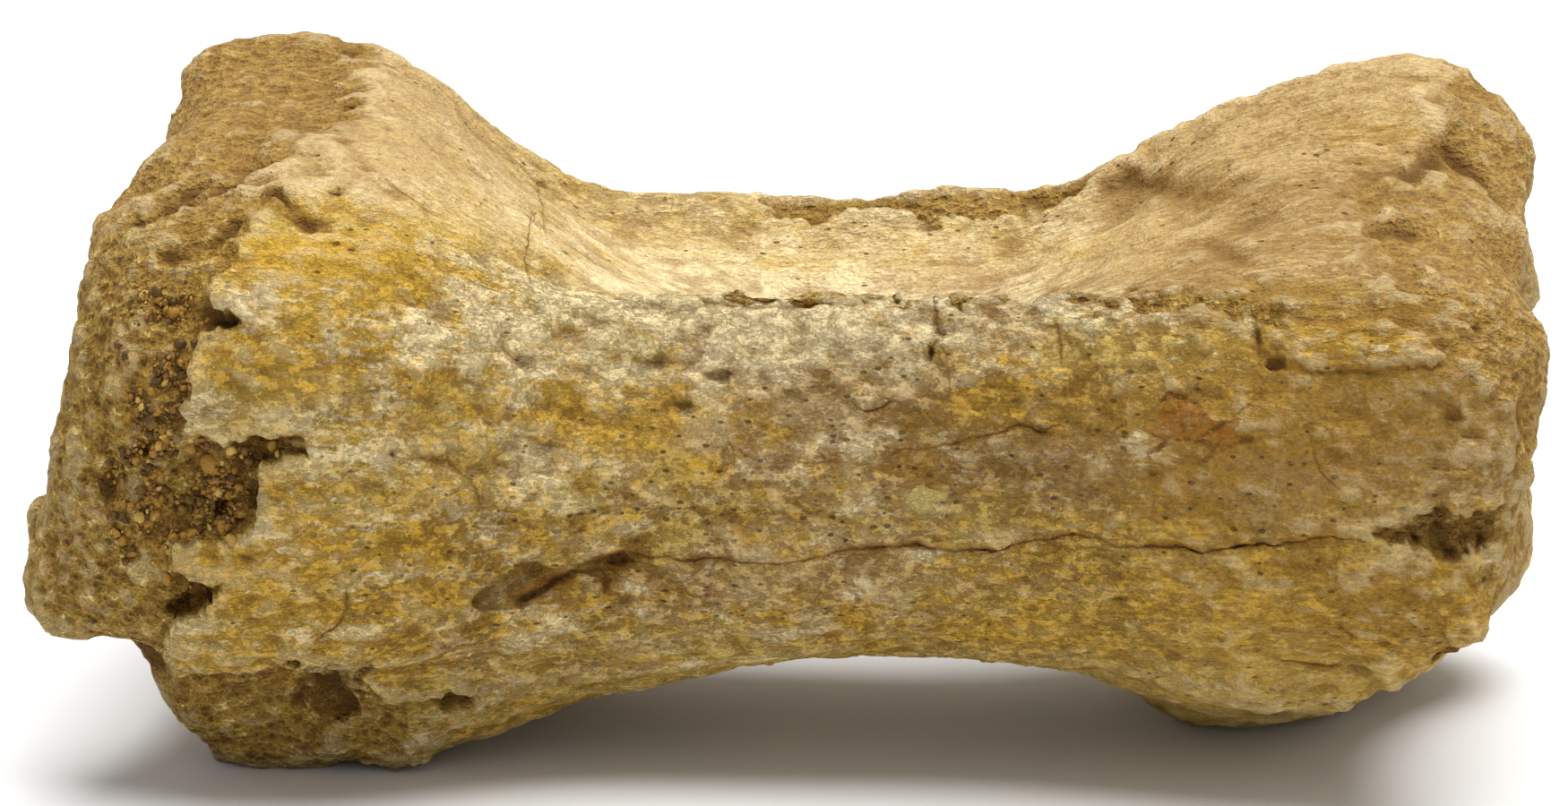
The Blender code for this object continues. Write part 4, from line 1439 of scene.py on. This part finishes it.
class GridMesh:
    """Makes a closed mesh from a grid of rings whose first and last ring are single points."""

    def __init__(self, name: str, points: Array) -> None:
        """Puts the grid in a new mesh.

        Args:
            name: The object's name.
            points: Points by rings and columns, in millimetres.
        """
        self.rings, self.columns = points.shape[:2]
        vertices = self.flat(points) * MM
        mesh = bpy.data.meshes.new(name)
        mesh.from_pydata(vertices.tolist(), [], self.faces(points).tolist())
        mesh.update()
        mesh.shade_smooth()
        self.mesh = mesh
        self.object = add_to_scene(name, mesh)

    def flat(self, values: Array) -> Array:
        """Lists a grid's values by vertex, with one vertex for each end."""
        inner = values[1:-1].reshape(-1, *values.shape[2:])
        return np.concatenate([values[0, :1], inner, values[-1, :1]])

    def faces(self, points: Array) -> Array:
        """Lists the faces as triangles, turned so that they face outwards."""
        ring = np.arange(self.columns)
        after = (ring + 1) % self.columns
        start = 1 + self.columns * np.arange(self.rings - 3)[:, None]
        a, b = start + ring, start + after
        c, d = b + self.columns, a + self.columns
        body = np.concatenate([np.stack(half, -1).reshape(-1, 3) for half in ([a, b, c], [a, c, d])])
        last = 1 + self.columns * (self.rings - 2)
        first_fan = np.stack([np.zeros_like(ring), 1 + after, 1 + ring], -1)
        last_row = last - self.columns
        last_fan = np.stack([np.full_like(ring, last), last_row + ring, last_row + after], -1)
        faces = np.concatenate([body, first_fan, last_fan])
        corner = self.flat(points)[faces]
        volume = np.einsum("ij,ij->", corner[:, 0], np.cross(corner[:, 1], corner[:, 2]))
        return faces if volume > 0 else faces[:, ::-1]

    def add(self, name: str, values: Array) -> None:
        """Adds a named attribute: a number, a vector of three or a colour of four at each point."""
        kinds = {1: ("FLOAT", "value"), 3: ("FLOAT_VECTOR", "vector"), 4: ("FLOAT_COLOR", "color")}
        width = 1 if values.ndim == 2 else values.shape[-1]
        kind, slot = kinds[width]
        attribute = self.mesh.attributes.new(name, kind, "POINT")
        attribute.data.foreach_set(slot, self.flat(values).astype(np.float32).ravel())


# Shader graphs

def rgb(red: int, green: int, blue: int) -> Colour:
    """Turns a screen colour from 0 to 255 into the linear colour that a shader takes."""
    shares = [level / 255 for level in (red, green, blue)]
    linear = [share / 12.92 if share <= 0.04045 else ((share + 0.055) / 1.055) ** 2.4 for share in shares]
    return (*linear, 1.0)


class Signal:
    """A number that varies over a surface: a socket whose operators add Math nodes."""

    def __init__(self, graph: "Graph", socket: Socket) -> None:
        """Wraps an output socket of a graph."""
        self.graph = graph
        self.socket = socket

    def _math(self, operation: str, *values: Any) -> "Signal":
        """Adds one Math node."""
        return self.graph.signal("ShaderNodeMath", {"operation": operation}, dict(enumerate(values)))

    def __add__(self, other: Any) -> "Signal":
        """Adds."""
        return self._math("ADD", self, other)

    def __sub__(self, other: Any) -> "Signal":
        """Subtracts."""
        return self._math("SUBTRACT", self, other)

    def __rsub__(self, other: Any) -> "Signal":
        """Subtracts from a number."""
        return self._math("SUBTRACT", other, self)

    def __mul__(self, other: Any) -> "Signal":
        """Multiplies."""
        return self._math("MULTIPLY", self, other)

    __radd__ = __add__
    __rmul__ = __mul__

    def __truediv__(self, other: Any) -> "Signal":
        """Divides."""
        return self._math("DIVIDE", self, other)

    def __abs__(self) -> "Signal":
        """Drops the sign."""
        return self._math("ABSOLUTE", self)

    def least(self, other: Any) -> "Signal":
        """Gives the lower of two."""
        return self._math("MINIMUM", self, other)

    def most(self, other: Any) -> "Signal":
        """Gives the higher of two."""
        return self._math("MAXIMUM", self, other)

    def rise(self, low: Any, high: Any) -> "Signal":
        """Gives 0 below low and 1 above high, with level ends. High may be below low."""
        return self.graph.signal(
            "ShaderNodeMapRange", {"interpolation_type": "SMOOTHSTEP"},
            {"Value": self, "From Min": low, "From Max": high}, "Result",
        )


@dataclass(frozen=True)
class Noises:
    """Three noises, read as one vector or one at a time."""

    colour: Socket
    channels: tuple

    def __getitem__(self, channel: int) -> Signal:
        """Gives one noise, from -0.5 to 0.5."""
        return self.channels[channel]


class Graph:
    """The node tree of one material."""

    def __init__(self, name: str) -> None:
        """Makes a material and keeps its shader.

        Args:
            name: The material's name.
        """
        self.material = bpy.data.materials.new(name)
        self.material.use_nodes = True
        self.tree = self.material.node_tree
        self.shader = self.tree.nodes["Principled BSDF"]
        place = self.node("ShaderNodeTexCoord", {}, {}).outputs["Object"]
        self.place = self.dim(place, 1 / MM)

    def node(self, kind: str, settings: dict[str, Any], inputs: dict[Any, Any]) -> Node:
        """Adds a node.

        Args:
            kind: The node's type.
            settings: Properties, which are set first.
            inputs: A value or a link for each named or numbered socket.

        Returns:
            The node.
        """
        node = self.tree.nodes.new(kind)
        for name, value in settings.items():
            setattr(node, name, value)
        for name, value in inputs.items():
            self.join(node.inputs[name], value)
        return node

    def join(self, socket: Socket, value: Any) -> None:
        """Links a signal or a socket to an input, or sets a plain value."""
        if isinstance(value, Signal):
            value = value.socket
        if isinstance(value, Socket):
            self.tree.links.new(value, socket)
        else:
            socket.default_value = value

    def signal(self, kind: str, settings: dict[str, Any], inputs: dict[Any, Any], output: Any = 0) -> Signal:
        """Adds a node and gives one of its outputs as a signal."""
        return Signal(self, self.node(kind, settings, inputs).outputs[output])

    def vector(self, operation: str, *values: Any) -> Socket:
        """Adds a Vector Math node and gives its vector."""
        node = self.node("ShaderNodeVectorMath", {"operation": operation}, dict(enumerate(values)))
        return node.outputs["Vector"]

    def measure(self, operation: str, *values: Any) -> Signal:
        """Adds a Vector Math node and gives its number."""
        return self.signal("ShaderNodeVectorMath", {"operation": operation}, dict(enumerate(values)), "Value")

    def dim(self, vector: Any, level: Any) -> Socket:
        """Scales a vector, or makes a colour lighter or darker, by a level."""
        inputs = {0: vector, "Scale": level}
        return self.node("ShaderNodeVectorMath", {"operation": "SCALE"}, inputs).outputs["Vector"]

    def stretch(self, vector: Any, x: float, y: float, z: float) -> Socket:
        """Scales a vector by a number along each axis."""
        return self.vector("MULTIPLY", vector, (x, y, z))

    def split(self, vector: Socket) -> list[Signal]:
        """Gives a vector's three numbers."""
        parts = self.node("ShaderNodeSeparateXYZ", {}, {"Vector": vector})
        return [Signal(self, parts.outputs[axis]) for axis in "XYZ"]

    def attribute(self, name: str) -> Node:
        """Reads an attribute of the mesh."""
        return self.node("ShaderNodeAttribute", {"attribute_name": name}, {})

    def field(self, name: str, part: str = "Fac") -> Signal:
        """Reads a number, or one part of a vector or colour, from the mesh's attribute."""
        source = self.attribute(name)
        if part in ("Fac", "Alpha"):
            return Signal(self, source.outputs[part])
        return self.split(source.outputs["Vector"])["XYZ".index(part)]

    def fractal(self, vector: Any, size: float, detail: float, rough: float) -> Node:
        """Adds fractal noise, from 0 to 1 round 0.5, with lumps of a size in the vector's units."""
        inputs = {"Vector": vector, "Scale": 1 / size, "Detail": detail, "Roughness": rough}
        return self.node("ShaderNodeTexNoise", {}, inputs)

    def noise(self, vector: Any, size: float, detail: float, rough: float) -> Signal:
        """Gives fractal noise as one number."""
        return Signal(self, self.fractal(vector, size, detail, rough).outputs["Fac"])

    def noises(self, vector: Any, size: float, detail: float, rough: float, strength: Signal) -> Noises:
        """Gives fractal noise as three numbers that don't follow each other, each round 0."""
        source = self.fractal(vector, size, detail, rough).outputs["Color"]
        centred = self.dim(self.vector("SUBTRACT", source, (0.5, 0.5, 0.5)), strength)
        return Noises(centred, tuple(self.split(centred)))

    def cells(self, vector: Any, size: float, channel: int) -> tuple[Signal, Signal]:
        """Scatters cells of a size in the vector's units.

        Args:
            vector: The place.
            size: The cells' size.
            channel: Which of a cell's random numbers is given.

        Returns:
            The distance from the nearest cell's middle, and that cell's random number.
        """
        cells = self.node("ShaderNodeTexVoronoi", {}, {"Vector": vector, "Scale": 1 / size})
        chance = self.signal("ShaderNodeSeparateColor", {}, {"Color": cells.outputs["Color"]}, channel)
        return Signal(self, cells.outputs["Distance"]), chance

    def mix(self, share: Any, first: Any, second: Any) -> Socket:
        """Blends two colours."""
        inputs = {"Factor": share, 6: first, 7: second}
        return self.node("ShaderNodeMix", {"data_type": "RGBA"}, inputs).outputs[2]

    def paint(self, colour: Any, *coats: tuple[Signal, Colour]) -> Socket:
        """Lays coats over a colour in order, each with the share that it covers."""
        for share, coat in coats:
            colour = self.mix(share, colour, coat)
        return colour

    def finish(self, colour: Any, roughness: Any, height: Signal) -> bpy.types.Material:
        """Joins the shader: its colour, its roughness and its bump, whose height is in millimetres."""
        bump = self.node("ShaderNodeBump", {}, {"Strength": 1.0, "Distance": MM, "Height": height})
        self.join(self.shader.inputs["Base Color"], colour)
        self.join(self.shader.inputs["Roughness"], roughness)
        self.join(self.shader.inputs["Normal"], bump.outputs["Normal"])
        return self.material


# Finishes

@dataclass(frozen=True)
class BoneFinish:
    """Fossil bone: a mottled, fibrous crust in tan, ochre, cream and mauve, and brown spongy ends."""

    tan: Colour = rgb(188, 156, 78)
    cream: Colour = rgb(238, 219, 172)
    ochre: Colour = rgb(194, 150, 44)
    mauve: Colour = rgb(186, 157, 118)
    brown: Colour = rgb(130, 94, 38)
    umber: Colour = rgb(78, 50, 18)
    black: Colour = rgb(36, 27, 14)
    rust: Colour = rgb(146, 94, 26)
    stain: Colour = rgb(102, 64, 18)
    russet: Colour = rgb(130, 93, 36)
    honey: Colour = rgb(167, 134, 60)
    splash: Colour = rgb(196, 176, 104)
    roughness: float = 0.7
    shine: float = 0.12

    def material(self) -> bpy.types.Material:
        """Builds the node material."""
        graph = Graph("fossil_bone")
        drawn_out = graph.stretch(graph.place, 0.6, 1, 1)
        fine = graph.noises(drawn_out, 0.6, 4.0, 0.7, graph.field("traits", "Alpha"))
        grit = graph.noise(graph.place, 0.27, 1.0, 0.7) - 0.5
        spongy = (graph.field("spongy") + 1.1 * fine[0]).rise(0.3, 0.65)
        colour, crust_height = self.crust(graph, fine)
        sponge, sponge_height = self.sponge(graph, colour, fine, grit)
        colour = graph.mix(spongy, colour, sponge)
        colour = graph.dim(colour, 1 + 0.9 * grit + 0.7 * fine[0])
        height = crust_height * (1 - spongy) + sponge_height * spongy + 0.14 * grit
        colour = self.wear(graph, colour, fine, spongy)
        colour, height = self.pits(graph, colour, height, fine)
        colour, height = self.cracks(graph, colour, height, fine)
        graph.join(graph.shader.inputs["Specular IOR Level"], self.shine)
        return graph.finish(colour, self.roughness + 0.5 * grit, height)

    def crust(self, graph: Graph, fine: Noises) -> tuple[Any, Signal]:
        """Builds the crust's colour and fine height.

        Each tone's channel is sharpened by fine noise into small ragged flecks. Streaks follow the
        grain, and pores are short dark dashes.
        """
        grain = graph.attribute("grain").outputs["Vector"]
        streak = graph.noise(graph.stretch(grain, 0.16, 1, 1), 0.3, 2.0, 0.65) - 0.5
        streak = streak * (0.6 + 0.3 * graph.field("traits", "Y"))
        crease = abs(fine[0] + 0.03).rise(0.045, 0.0) * graph.field("traits", "Z").rise(0.2, 0.9)
        pale, ochre, mauve, brown = (graph.field("tones", part) for part in ("X", "Y", "Z", "Alpha"))
        away, chance = graph.cells(graph.stretch(grain, 0.6, 1, 1), 0.5, 0)
        radius = (chance + graph.field("traits", "X") - 0.84) * 0.4
        pore = (0.5 * away + 0.1 * fine[1] - radius.least(0.12)).rise(0.03, -0.02)
        # Cream follows the pale channel and brown the brown channel, which also hold painted top light and
        # painted underside shade.
        colour = graph.paint(
            self.tan,
            ((mauve + 1.2 * fine[1]).rise(0.04, 0.4) * 0.6, self.mauve),
            ((ochre - 1.4 * fine[1] + streak).rise(0.02, 0.38) * 0.75, self.ochre),
            ((brown - 1.7 * fine[0] + streak).rise(0.06, 0.5) * 0.7, self.brown),
            ((pale + 1.6 * fine[2] + streak).rise(0.0, 0.44) * 0.72, self.cream),
            (crease * 0.35, self.brown),
            (pore * 0.8, self.umber),
        )
        flaked = fine[1].rise(-0.015, 0.015) * 0.05 + fine[2].rise(0.05, 0.075) * 0.05
        return colour, 0.14 * streak + 0.55 * fine[0] + 0.4 * fine[2] + flaked - 0.09 * crease - 0.12 * pore

    def sponge(self, graph: Graph, crust: Any, fine: Noises, grit: Signal) -> tuple[Any, Signal]:
        """Builds the spongy bone's colour and fine height from one level.

        The level is lowest inside small cells of all shapes and highest on the walls between them,
        and the colour runs with it from umber through russet and honey to cream.
        """
        bent = graph.vector("ADD", graph.stretch(graph.place, 0.75, 1, 1.1), graph.dim(fine.colour, 1.1))
        away, chance = graph.cells(bent, 0.6, 1)
        level = 0.8 * away + 0.25 * chance + 1.2 * fine[2] + 0.7 * grit
        opened = graph.field("traits", "Z")
        colour = graph.paint(
            self.umber,
            (level.rise(0.08, 0.4), self.russet),
            (level.rise(0.36, 0.72), self.honey),
            (level.rise(0.75, 1.1) * 0.4, self.cream),
        )
        return graph.mix(0.35 + 0.55 * opened, crust, colour), level.least(0.9) * (0.16 + 0.45 * opened)

    def wear(self, graph: Graph, colour: Any, fine: Noises, spongy: Signal) -> Any:
        """Adds what relief and staining do: hollows darkened with dirt and with painted shade, pale edges,
        the star stain and the splash.
        """
        cavity = graph.field("cavity") + 0.16 * fine[0]
        # Hollows turn brown, and the deepest turn umber: dirt together with painted shade.
        dirt_and_shade = cavity.rise(0.0, 0.12 + 0.18 * spongy)
        dark = (graph.field("dark") + 1.1 * fine[0]).rise(0.1, 0.8)
        scar = (graph.field("plate_edge") + 0.4 * fine[2]).rise(-0.05, 0.1)
        star = (graph.field("star") + 0.5 * fine[2]).rise(-0.05, 0.06)
        stroke = (self.off_strokes(graph) + 1.5 * fine[1] + 0.8 * fine[0]).rise(0.27, -0.02)
        splash = (graph.field("splash") + 1.2 * fine[1]).rise(-0.03, 0.08)
        return graph.paint(
            colour,
            (dirt_and_shade * (0.5 + 0.2 * spongy), self.brown),
            (cavity.rise(0.12, 0.4) * 0.6, self.umber),
            (cavity.rise(-0.03, -0.2) * 0.25, self.cream),
            # The dark field darkens grooves and crumbled patches: painted shade in them as well as their own
            # dark colour.
            (dark * (0.75 + 2.0 * fine[2]), self.umber),
            (scar * (0.55 + 3.0 * fine[1]), self.russet),
            (scar * (2.5 * fine[2] + 0.1), self.umber),
            (star * (0.68 + 3.2 * fine[0]), self.rust),
            (stroke * (0.7 + 3.0 * fine[2]), self.stain),
            (splash * 0.85, self.splash),
        )

    def off_strokes(self, graph: Graph) -> Signal:
        """Gives how far each place of the near wall lies from the stain's strokes, in millimetres.

        A stroke is a straight line, and the distance is taken to the nearest point on it.
        """
        wall = graph.attribute("wall").outputs["Vector"]
        nearest = None
        for ends in STAIN_STROKES:
            first, last = (np.array((*pixel, 0.0)) * PhotoCamera().pixel_size for pixel in ends)
            length = float(np.linalg.norm(last - first))
            along = tuple((last - first) / length)
            off = graph.vector("SUBTRACT", wall, tuple(first))
            foot = graph.dim(along, graph.measure("DOT_PRODUCT", off, along).most(0.0).least(length))
            away = graph.measure("LENGTH", graph.vector("SUBTRACT", off, foot))
            nearest = away if nearest is None else nearest.least(away)
        return nearest

    def pits(self, graph: Graph, colour: Any, height: Signal, fine: Noises) -> tuple[Any, Signal]:
        """Draws the named pits' crisp dark insides."""
        depth = graph.field("pit", "Y")
        inside = graph.field("pit", "X") + 0.8 * fine[2]
        shade = inside.rise(-0.04, 0.2) * depth
        colour = graph.paint(
            colour,
            (inside.rise(-0.25, 0.1) * depth * 0.6, self.brown),
            (shade * 0.75, self.umber),
            (inside.rise(0.12, 0.35) * (depth - 0.5), self.black),
        )
        return colour, height - 0.2 * shade

    def line(self, graph: Graph, family: Family, fine: Noises) -> tuple[Signal, Signal]:
        """Reads a family's lines: how far off a line each point lies, in half widths, and its ink."""
        off, ink, width = (graph.field(family.value, axis) for axis in "XYZ")
        return abs(off + 0.7 * fine[1]) / (width * (1 + 2.2 * fine[0])).most(0.03), ink

    def cracks(self, graph: Graph, colour: Any, height: Signal, fine: Noises) -> tuple[Any, Signal]:
        """Draws each family's lines: a dark core with a rusty rim, sunk below the skin."""
        for family in Family:
            share, strength = self.line(graph, family, fine)
            core = share.rise(0.8, 0.2) * strength
            rim = share.rise(2.4, 0.5) * strength
            deepest = core * (strength + 1.8 * fine[2]).rise(0.7, 1.2)
            coats = (rim * 0.6, self.rust), (core * 0.9, self.umber), (deepest, self.black)
            colour = graph.paint(colour, *coats)
            height = height - 0.16 * core - 0.06 * rim
        return colour, height


@dataclass(frozen=True)
class SandFinish:
    """Grains of sand, from honey to grey, a little glassy."""

    honey: Colour = rgb(152, 111, 40)
    cream: Colour = rgb(192, 158, 80)
    dark: Colour = rgb(82, 57, 21)
    roughness: float = 0.45
    shine: float = 0.25

    def material(self) -> bpy.types.Material:
        """Builds the node material."""
        graph = Graph("sand_grains")
        kind = graph.field("kind")
        speck = graph.noise(graph.place, 0.15, 3.0, 0.6)
        colour = graph.paint(self.dark, (kind.rise(0.1, 0.7), self.honey), (kind.rise(0.82, 1.0), self.cream))
        colour = graph.dim(colour, 0.55 + 0.9 * speck)
        graph.join(graph.shader.inputs["Specular IOR Level"], self.shine)
        return graph.finish(colour, self.roughness + 0.3 * (speck - 0.5), 0.06 * speck)


# Pieces

class Stone(NamedTuple):
    """A larger grain at a pixel, with its radius in millimetres and its tone from dark 0 to pale 1."""

    name: str
    pixel: Pixel
    radius: float
    tone: float


STONES = (
    Stone("glassy grain", (233, 517), 0.75, 0.8),
    Stone("glassy grain, small", (262, 524), 0.4, 0.82),
    Stone("yellow grain", (155, 578), 0.3, 0.97),
    Stone("yellow grain, right", (167, 578), 0.27, 0.94),
    Stone("pale grain", (212, 500), 0.4, 0.85),
    Stone("brown grain", (248, 590), 0.5, 0.7),
    Stone("pale grain, low", (258, 604), 0.45, 0.9),
)


@dataclass
class SandGrains:
    """Grains of sand and broken bone stuck in the left end's spongy bone."""

    count: int = 2600
    smallest: float = 0.08
    largest: float = 0.34
    sunk: float = 0.68
    seed: int = 11
    finish: SandFinish = field(default_factory=SandFinish)

    def unit_grain(self) -> tuple[Array, Array]:
        """Gives a small sphere's vertices and triangles."""
        ball = bmesh.new()
        bmesh.ops.create_uvsphere(ball, u_segments=8, v_segments=4, radius=1.0)
        bmesh.ops.triangulate(ball, faces=ball.faces)
        vertices = np.array([v.co for v in ball.verts])
        faces = np.array([[v.index for v in f.verts] for f in ball.faces])
        ball.free()
        return vertices, faces

    def likelihood(self, skin: Skin, relief: Relief) -> Array:
        """Gives how likely a grain is at each point: in the hollow, and along the near rim."""
        near = sum(patch.strength * np.exp(-patch.off(skin.pixels)) for patch in SANDY)
        clumps = smooth_step(-0.3, 0.3, rough_noise(skin.points, 2.0, 200))
        clumps = clumps * smooth_step(-0.3, 0.4, relief.cavity)
        inner = smooth_step(0.2, 0.45, skin.facing) * smooth_step(105, 135, skin.pixels[..., 0])
        return near * clumps * inner * (relief.spongy > 0.9) * (skin.position > NEAR_SIDE)

    def build(self, skin: Skin, relief: Relief) -> bpy.types.Object:
        """Scatters the grains over the skin and joins them in one mesh.

        Each grain is a sphere stretched along three axes, turned at random and sunk in the skin.

        Args:
            skin: The carved skin.
            relief: The relief, for where the bone is spongy.

        Returns:
            The object.
        """
        draw = np.random.default_rng(self.seed)
        chance = self.likelihood(skin, relief).ravel()
        spots = draw.choice(chance.size, self.count, p=chance / chance.sum())
        radius = self.smallest + (self.largest - self.smallest) * draw.random(self.count) ** 3
        tone = draw.random(self.count)
        jitter = 0.15 * draw.standard_normal((self.count, 3)).clip(-1.5, 1.5)
        centres = skin.points.reshape(-1, 3)[spots] + jitter
        normals = skin.normals.reshape(-1, 3)[spots]
        radius = np.append(radius, [stone.radius for stone in STONES])
        tone = np.append(tone, [stone.tone for stone in STONES])
        centres = np.concatenate([centres, skin.path(tuple(stone.pixel for stone in STONES))])
        normals = np.concatenate([normals, np.tile(skin.camera.back, (len(STONES), 1))])
        centres = centres + normals * (radius * (1 - 2 * self.sunk))[:, None] + skin.form.rest_shift
        count = len(radius)
        stretch = 1 + 0.25 * draw.standard_normal((count, 1, 3)).clip(-1.4, 1.4)
        axes, _ = np.linalg.qr(draw.standard_normal((count, 3, 3)))
        ball, faces = self.unit_grain()
        lumps = 1 + 0.2 * draw.standard_normal((count, len(ball), 1)).clip(-2, 2)
        grains = (ball * stretch * lumps) @ axes * radius[:, None, None]
        vertices = (grains + centres[:, None]).reshape(-1, 3) * MM
        flipped = np.linalg.det(axes) * np.prod(stretch[:, 0], axis=-1) < 0
        every = faces[None] + (np.arange(count) * len(ball))[:, None, None]
        every = np.where(flipped[:, None, None], every[..., ::-1], every).reshape(-1, 3)
        mesh = bpy.data.meshes.new("sand_grains")
        mesh.from_pydata(vertices.tolist(), [], every.tolist())
        mesh.update()
        mesh.shade_smooth()
        kind = mesh.attributes.new("kind", "FLOAT", "POINT")
        kind.data.foreach_set("value", np.repeat(tone, len(ball)).astype(np.float32))
        mesh.materials.append(self.finish.material())
        piece = add_to_scene("sand_grains", mesh)
        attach(piece, "root")
        return piece


@dataclass
class FossilBone:
    """The bone itself: its carved skin and its finish."""

    form: CentrumForm = field(default_factory=CentrumForm)
    camera: PhotoCamera = field(default_factory=PhotoCamera)
    finish: BoneFinish = field(default_factory=BoneFinish)

    def build(self) -> tuple[bpy.types.Object, Skin, Relief]:
        """Carves the skin, puts it in a mesh and dresses it.

        Returns:
            The object, the skin and its relief.
        """
        skin = Skin(self.form, self.camera)
        relief = Relief(skin)
        grid = GridMesh("fossil_bone_skin", relief.carve())
        grid.add("grain", skin.grain)
        for name in ("tones", "spongy", "cavity", "dark", "pit", "traits", "plate_edge", "star", "splash"):
            grid.add(name, getattr(relief, name))
        grid.add("wall", skin.wall())
        for family, values in relief.ink.items():
            grid.add(family.value, values)
        grid.mesh.materials.append(self.finish.material())
        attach(grid.object, "root")
        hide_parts("bone")
        return grid.object, skin, relief


@dataclass
class Studio:
    """A pale floor under broad, soft white light from above."""

    floor_size: float = 6.0
    floor_colour: Colour = (0.8, 0.8, 0.8, 1.0)
    floor_roughness: float = 0.9
    world_strength: float = 0.45
    key_strength: float = 4.42
    key_spread: float = 52.0
    key_lean: tuple[float, float] = (-2.0, 6.0)

    def build(self) -> bpy.types.Object:
        """Makes the floor, the light and the world.

        Returns:
            The floor.
        """
        half = self.floor_size / 2
        mesh = bpy.data.meshes.new("studio_floor")
        corners = [(-half, -half, 0), (half, -half, 0), (half, half, 0), (-half, half, 0)]
        mesh.from_pydata(corners, [], [(0, 1, 2, 3)])
        material = bpy.data.materials.new("studio_floor")
        material.use_nodes = True
        shader = material.node_tree.nodes["Principled BSDF"]
        shader.inputs["Base Color"].default_value = self.floor_colour
        shader.inputs["Roughness"].default_value = self.floor_roughness
        shader.inputs["Specular IOR Level"].default_value = 0.0
        mesh.materials.append(material)
        floor = add_to_scene("studio_floor", mesh)
        self.key()
        world = bpy.data.worlds.new("studio_world")
        world.use_nodes = True
        backdrop = world.node_tree.nodes["Background"]
        backdrop.inputs["Color"].default_value = (1.0, 1.0, 1.0, 1.0)
        backdrop.inputs["Strength"].default_value = self.world_strength
        bpy.context.scene.world = world
        bpy.context.scene.view_settings.view_transform = "Standard"
        return floor

    def key(self) -> None:
        """Adds the key light: a sun as broad as a softbox, leaning a little from straight up."""
        data = bpy.data.lights.new("key", "SUN")
        data.energy = self.key_strength
        data.angle = math.radians(self.key_spread)
        lamp = add_to_scene("key", data)
        lamp.location = (0.0, 0.0, 1.0)
        lamp.rotation_euler = tuple(math.radians(lean) for lean in self.key_lean) + (0.0,)


def report(piece: bpy.types.Object) -> None:
    """Logs a piece's name, triangles and size."""
    size = [round(side / MM, 1) for side in piece.dimensions]
    LOG.info("%s: %d triangles, %s mm", piece.name, len(piece.data.polygons), size)


def main() -> None:
    """Builds the bone, its sand, the camera and the studio."""
    logging.basicConfig(level=logging.INFO, format="%(name)s: %(message)s")
    bone = FossilBone()
    piece, skin, relief = bone.build()
    report(piece)
    report(SandGrains().build(skin, relief))
    bone.camera.build()
    Studio().build()


if __name__ == "__main__":
    main()
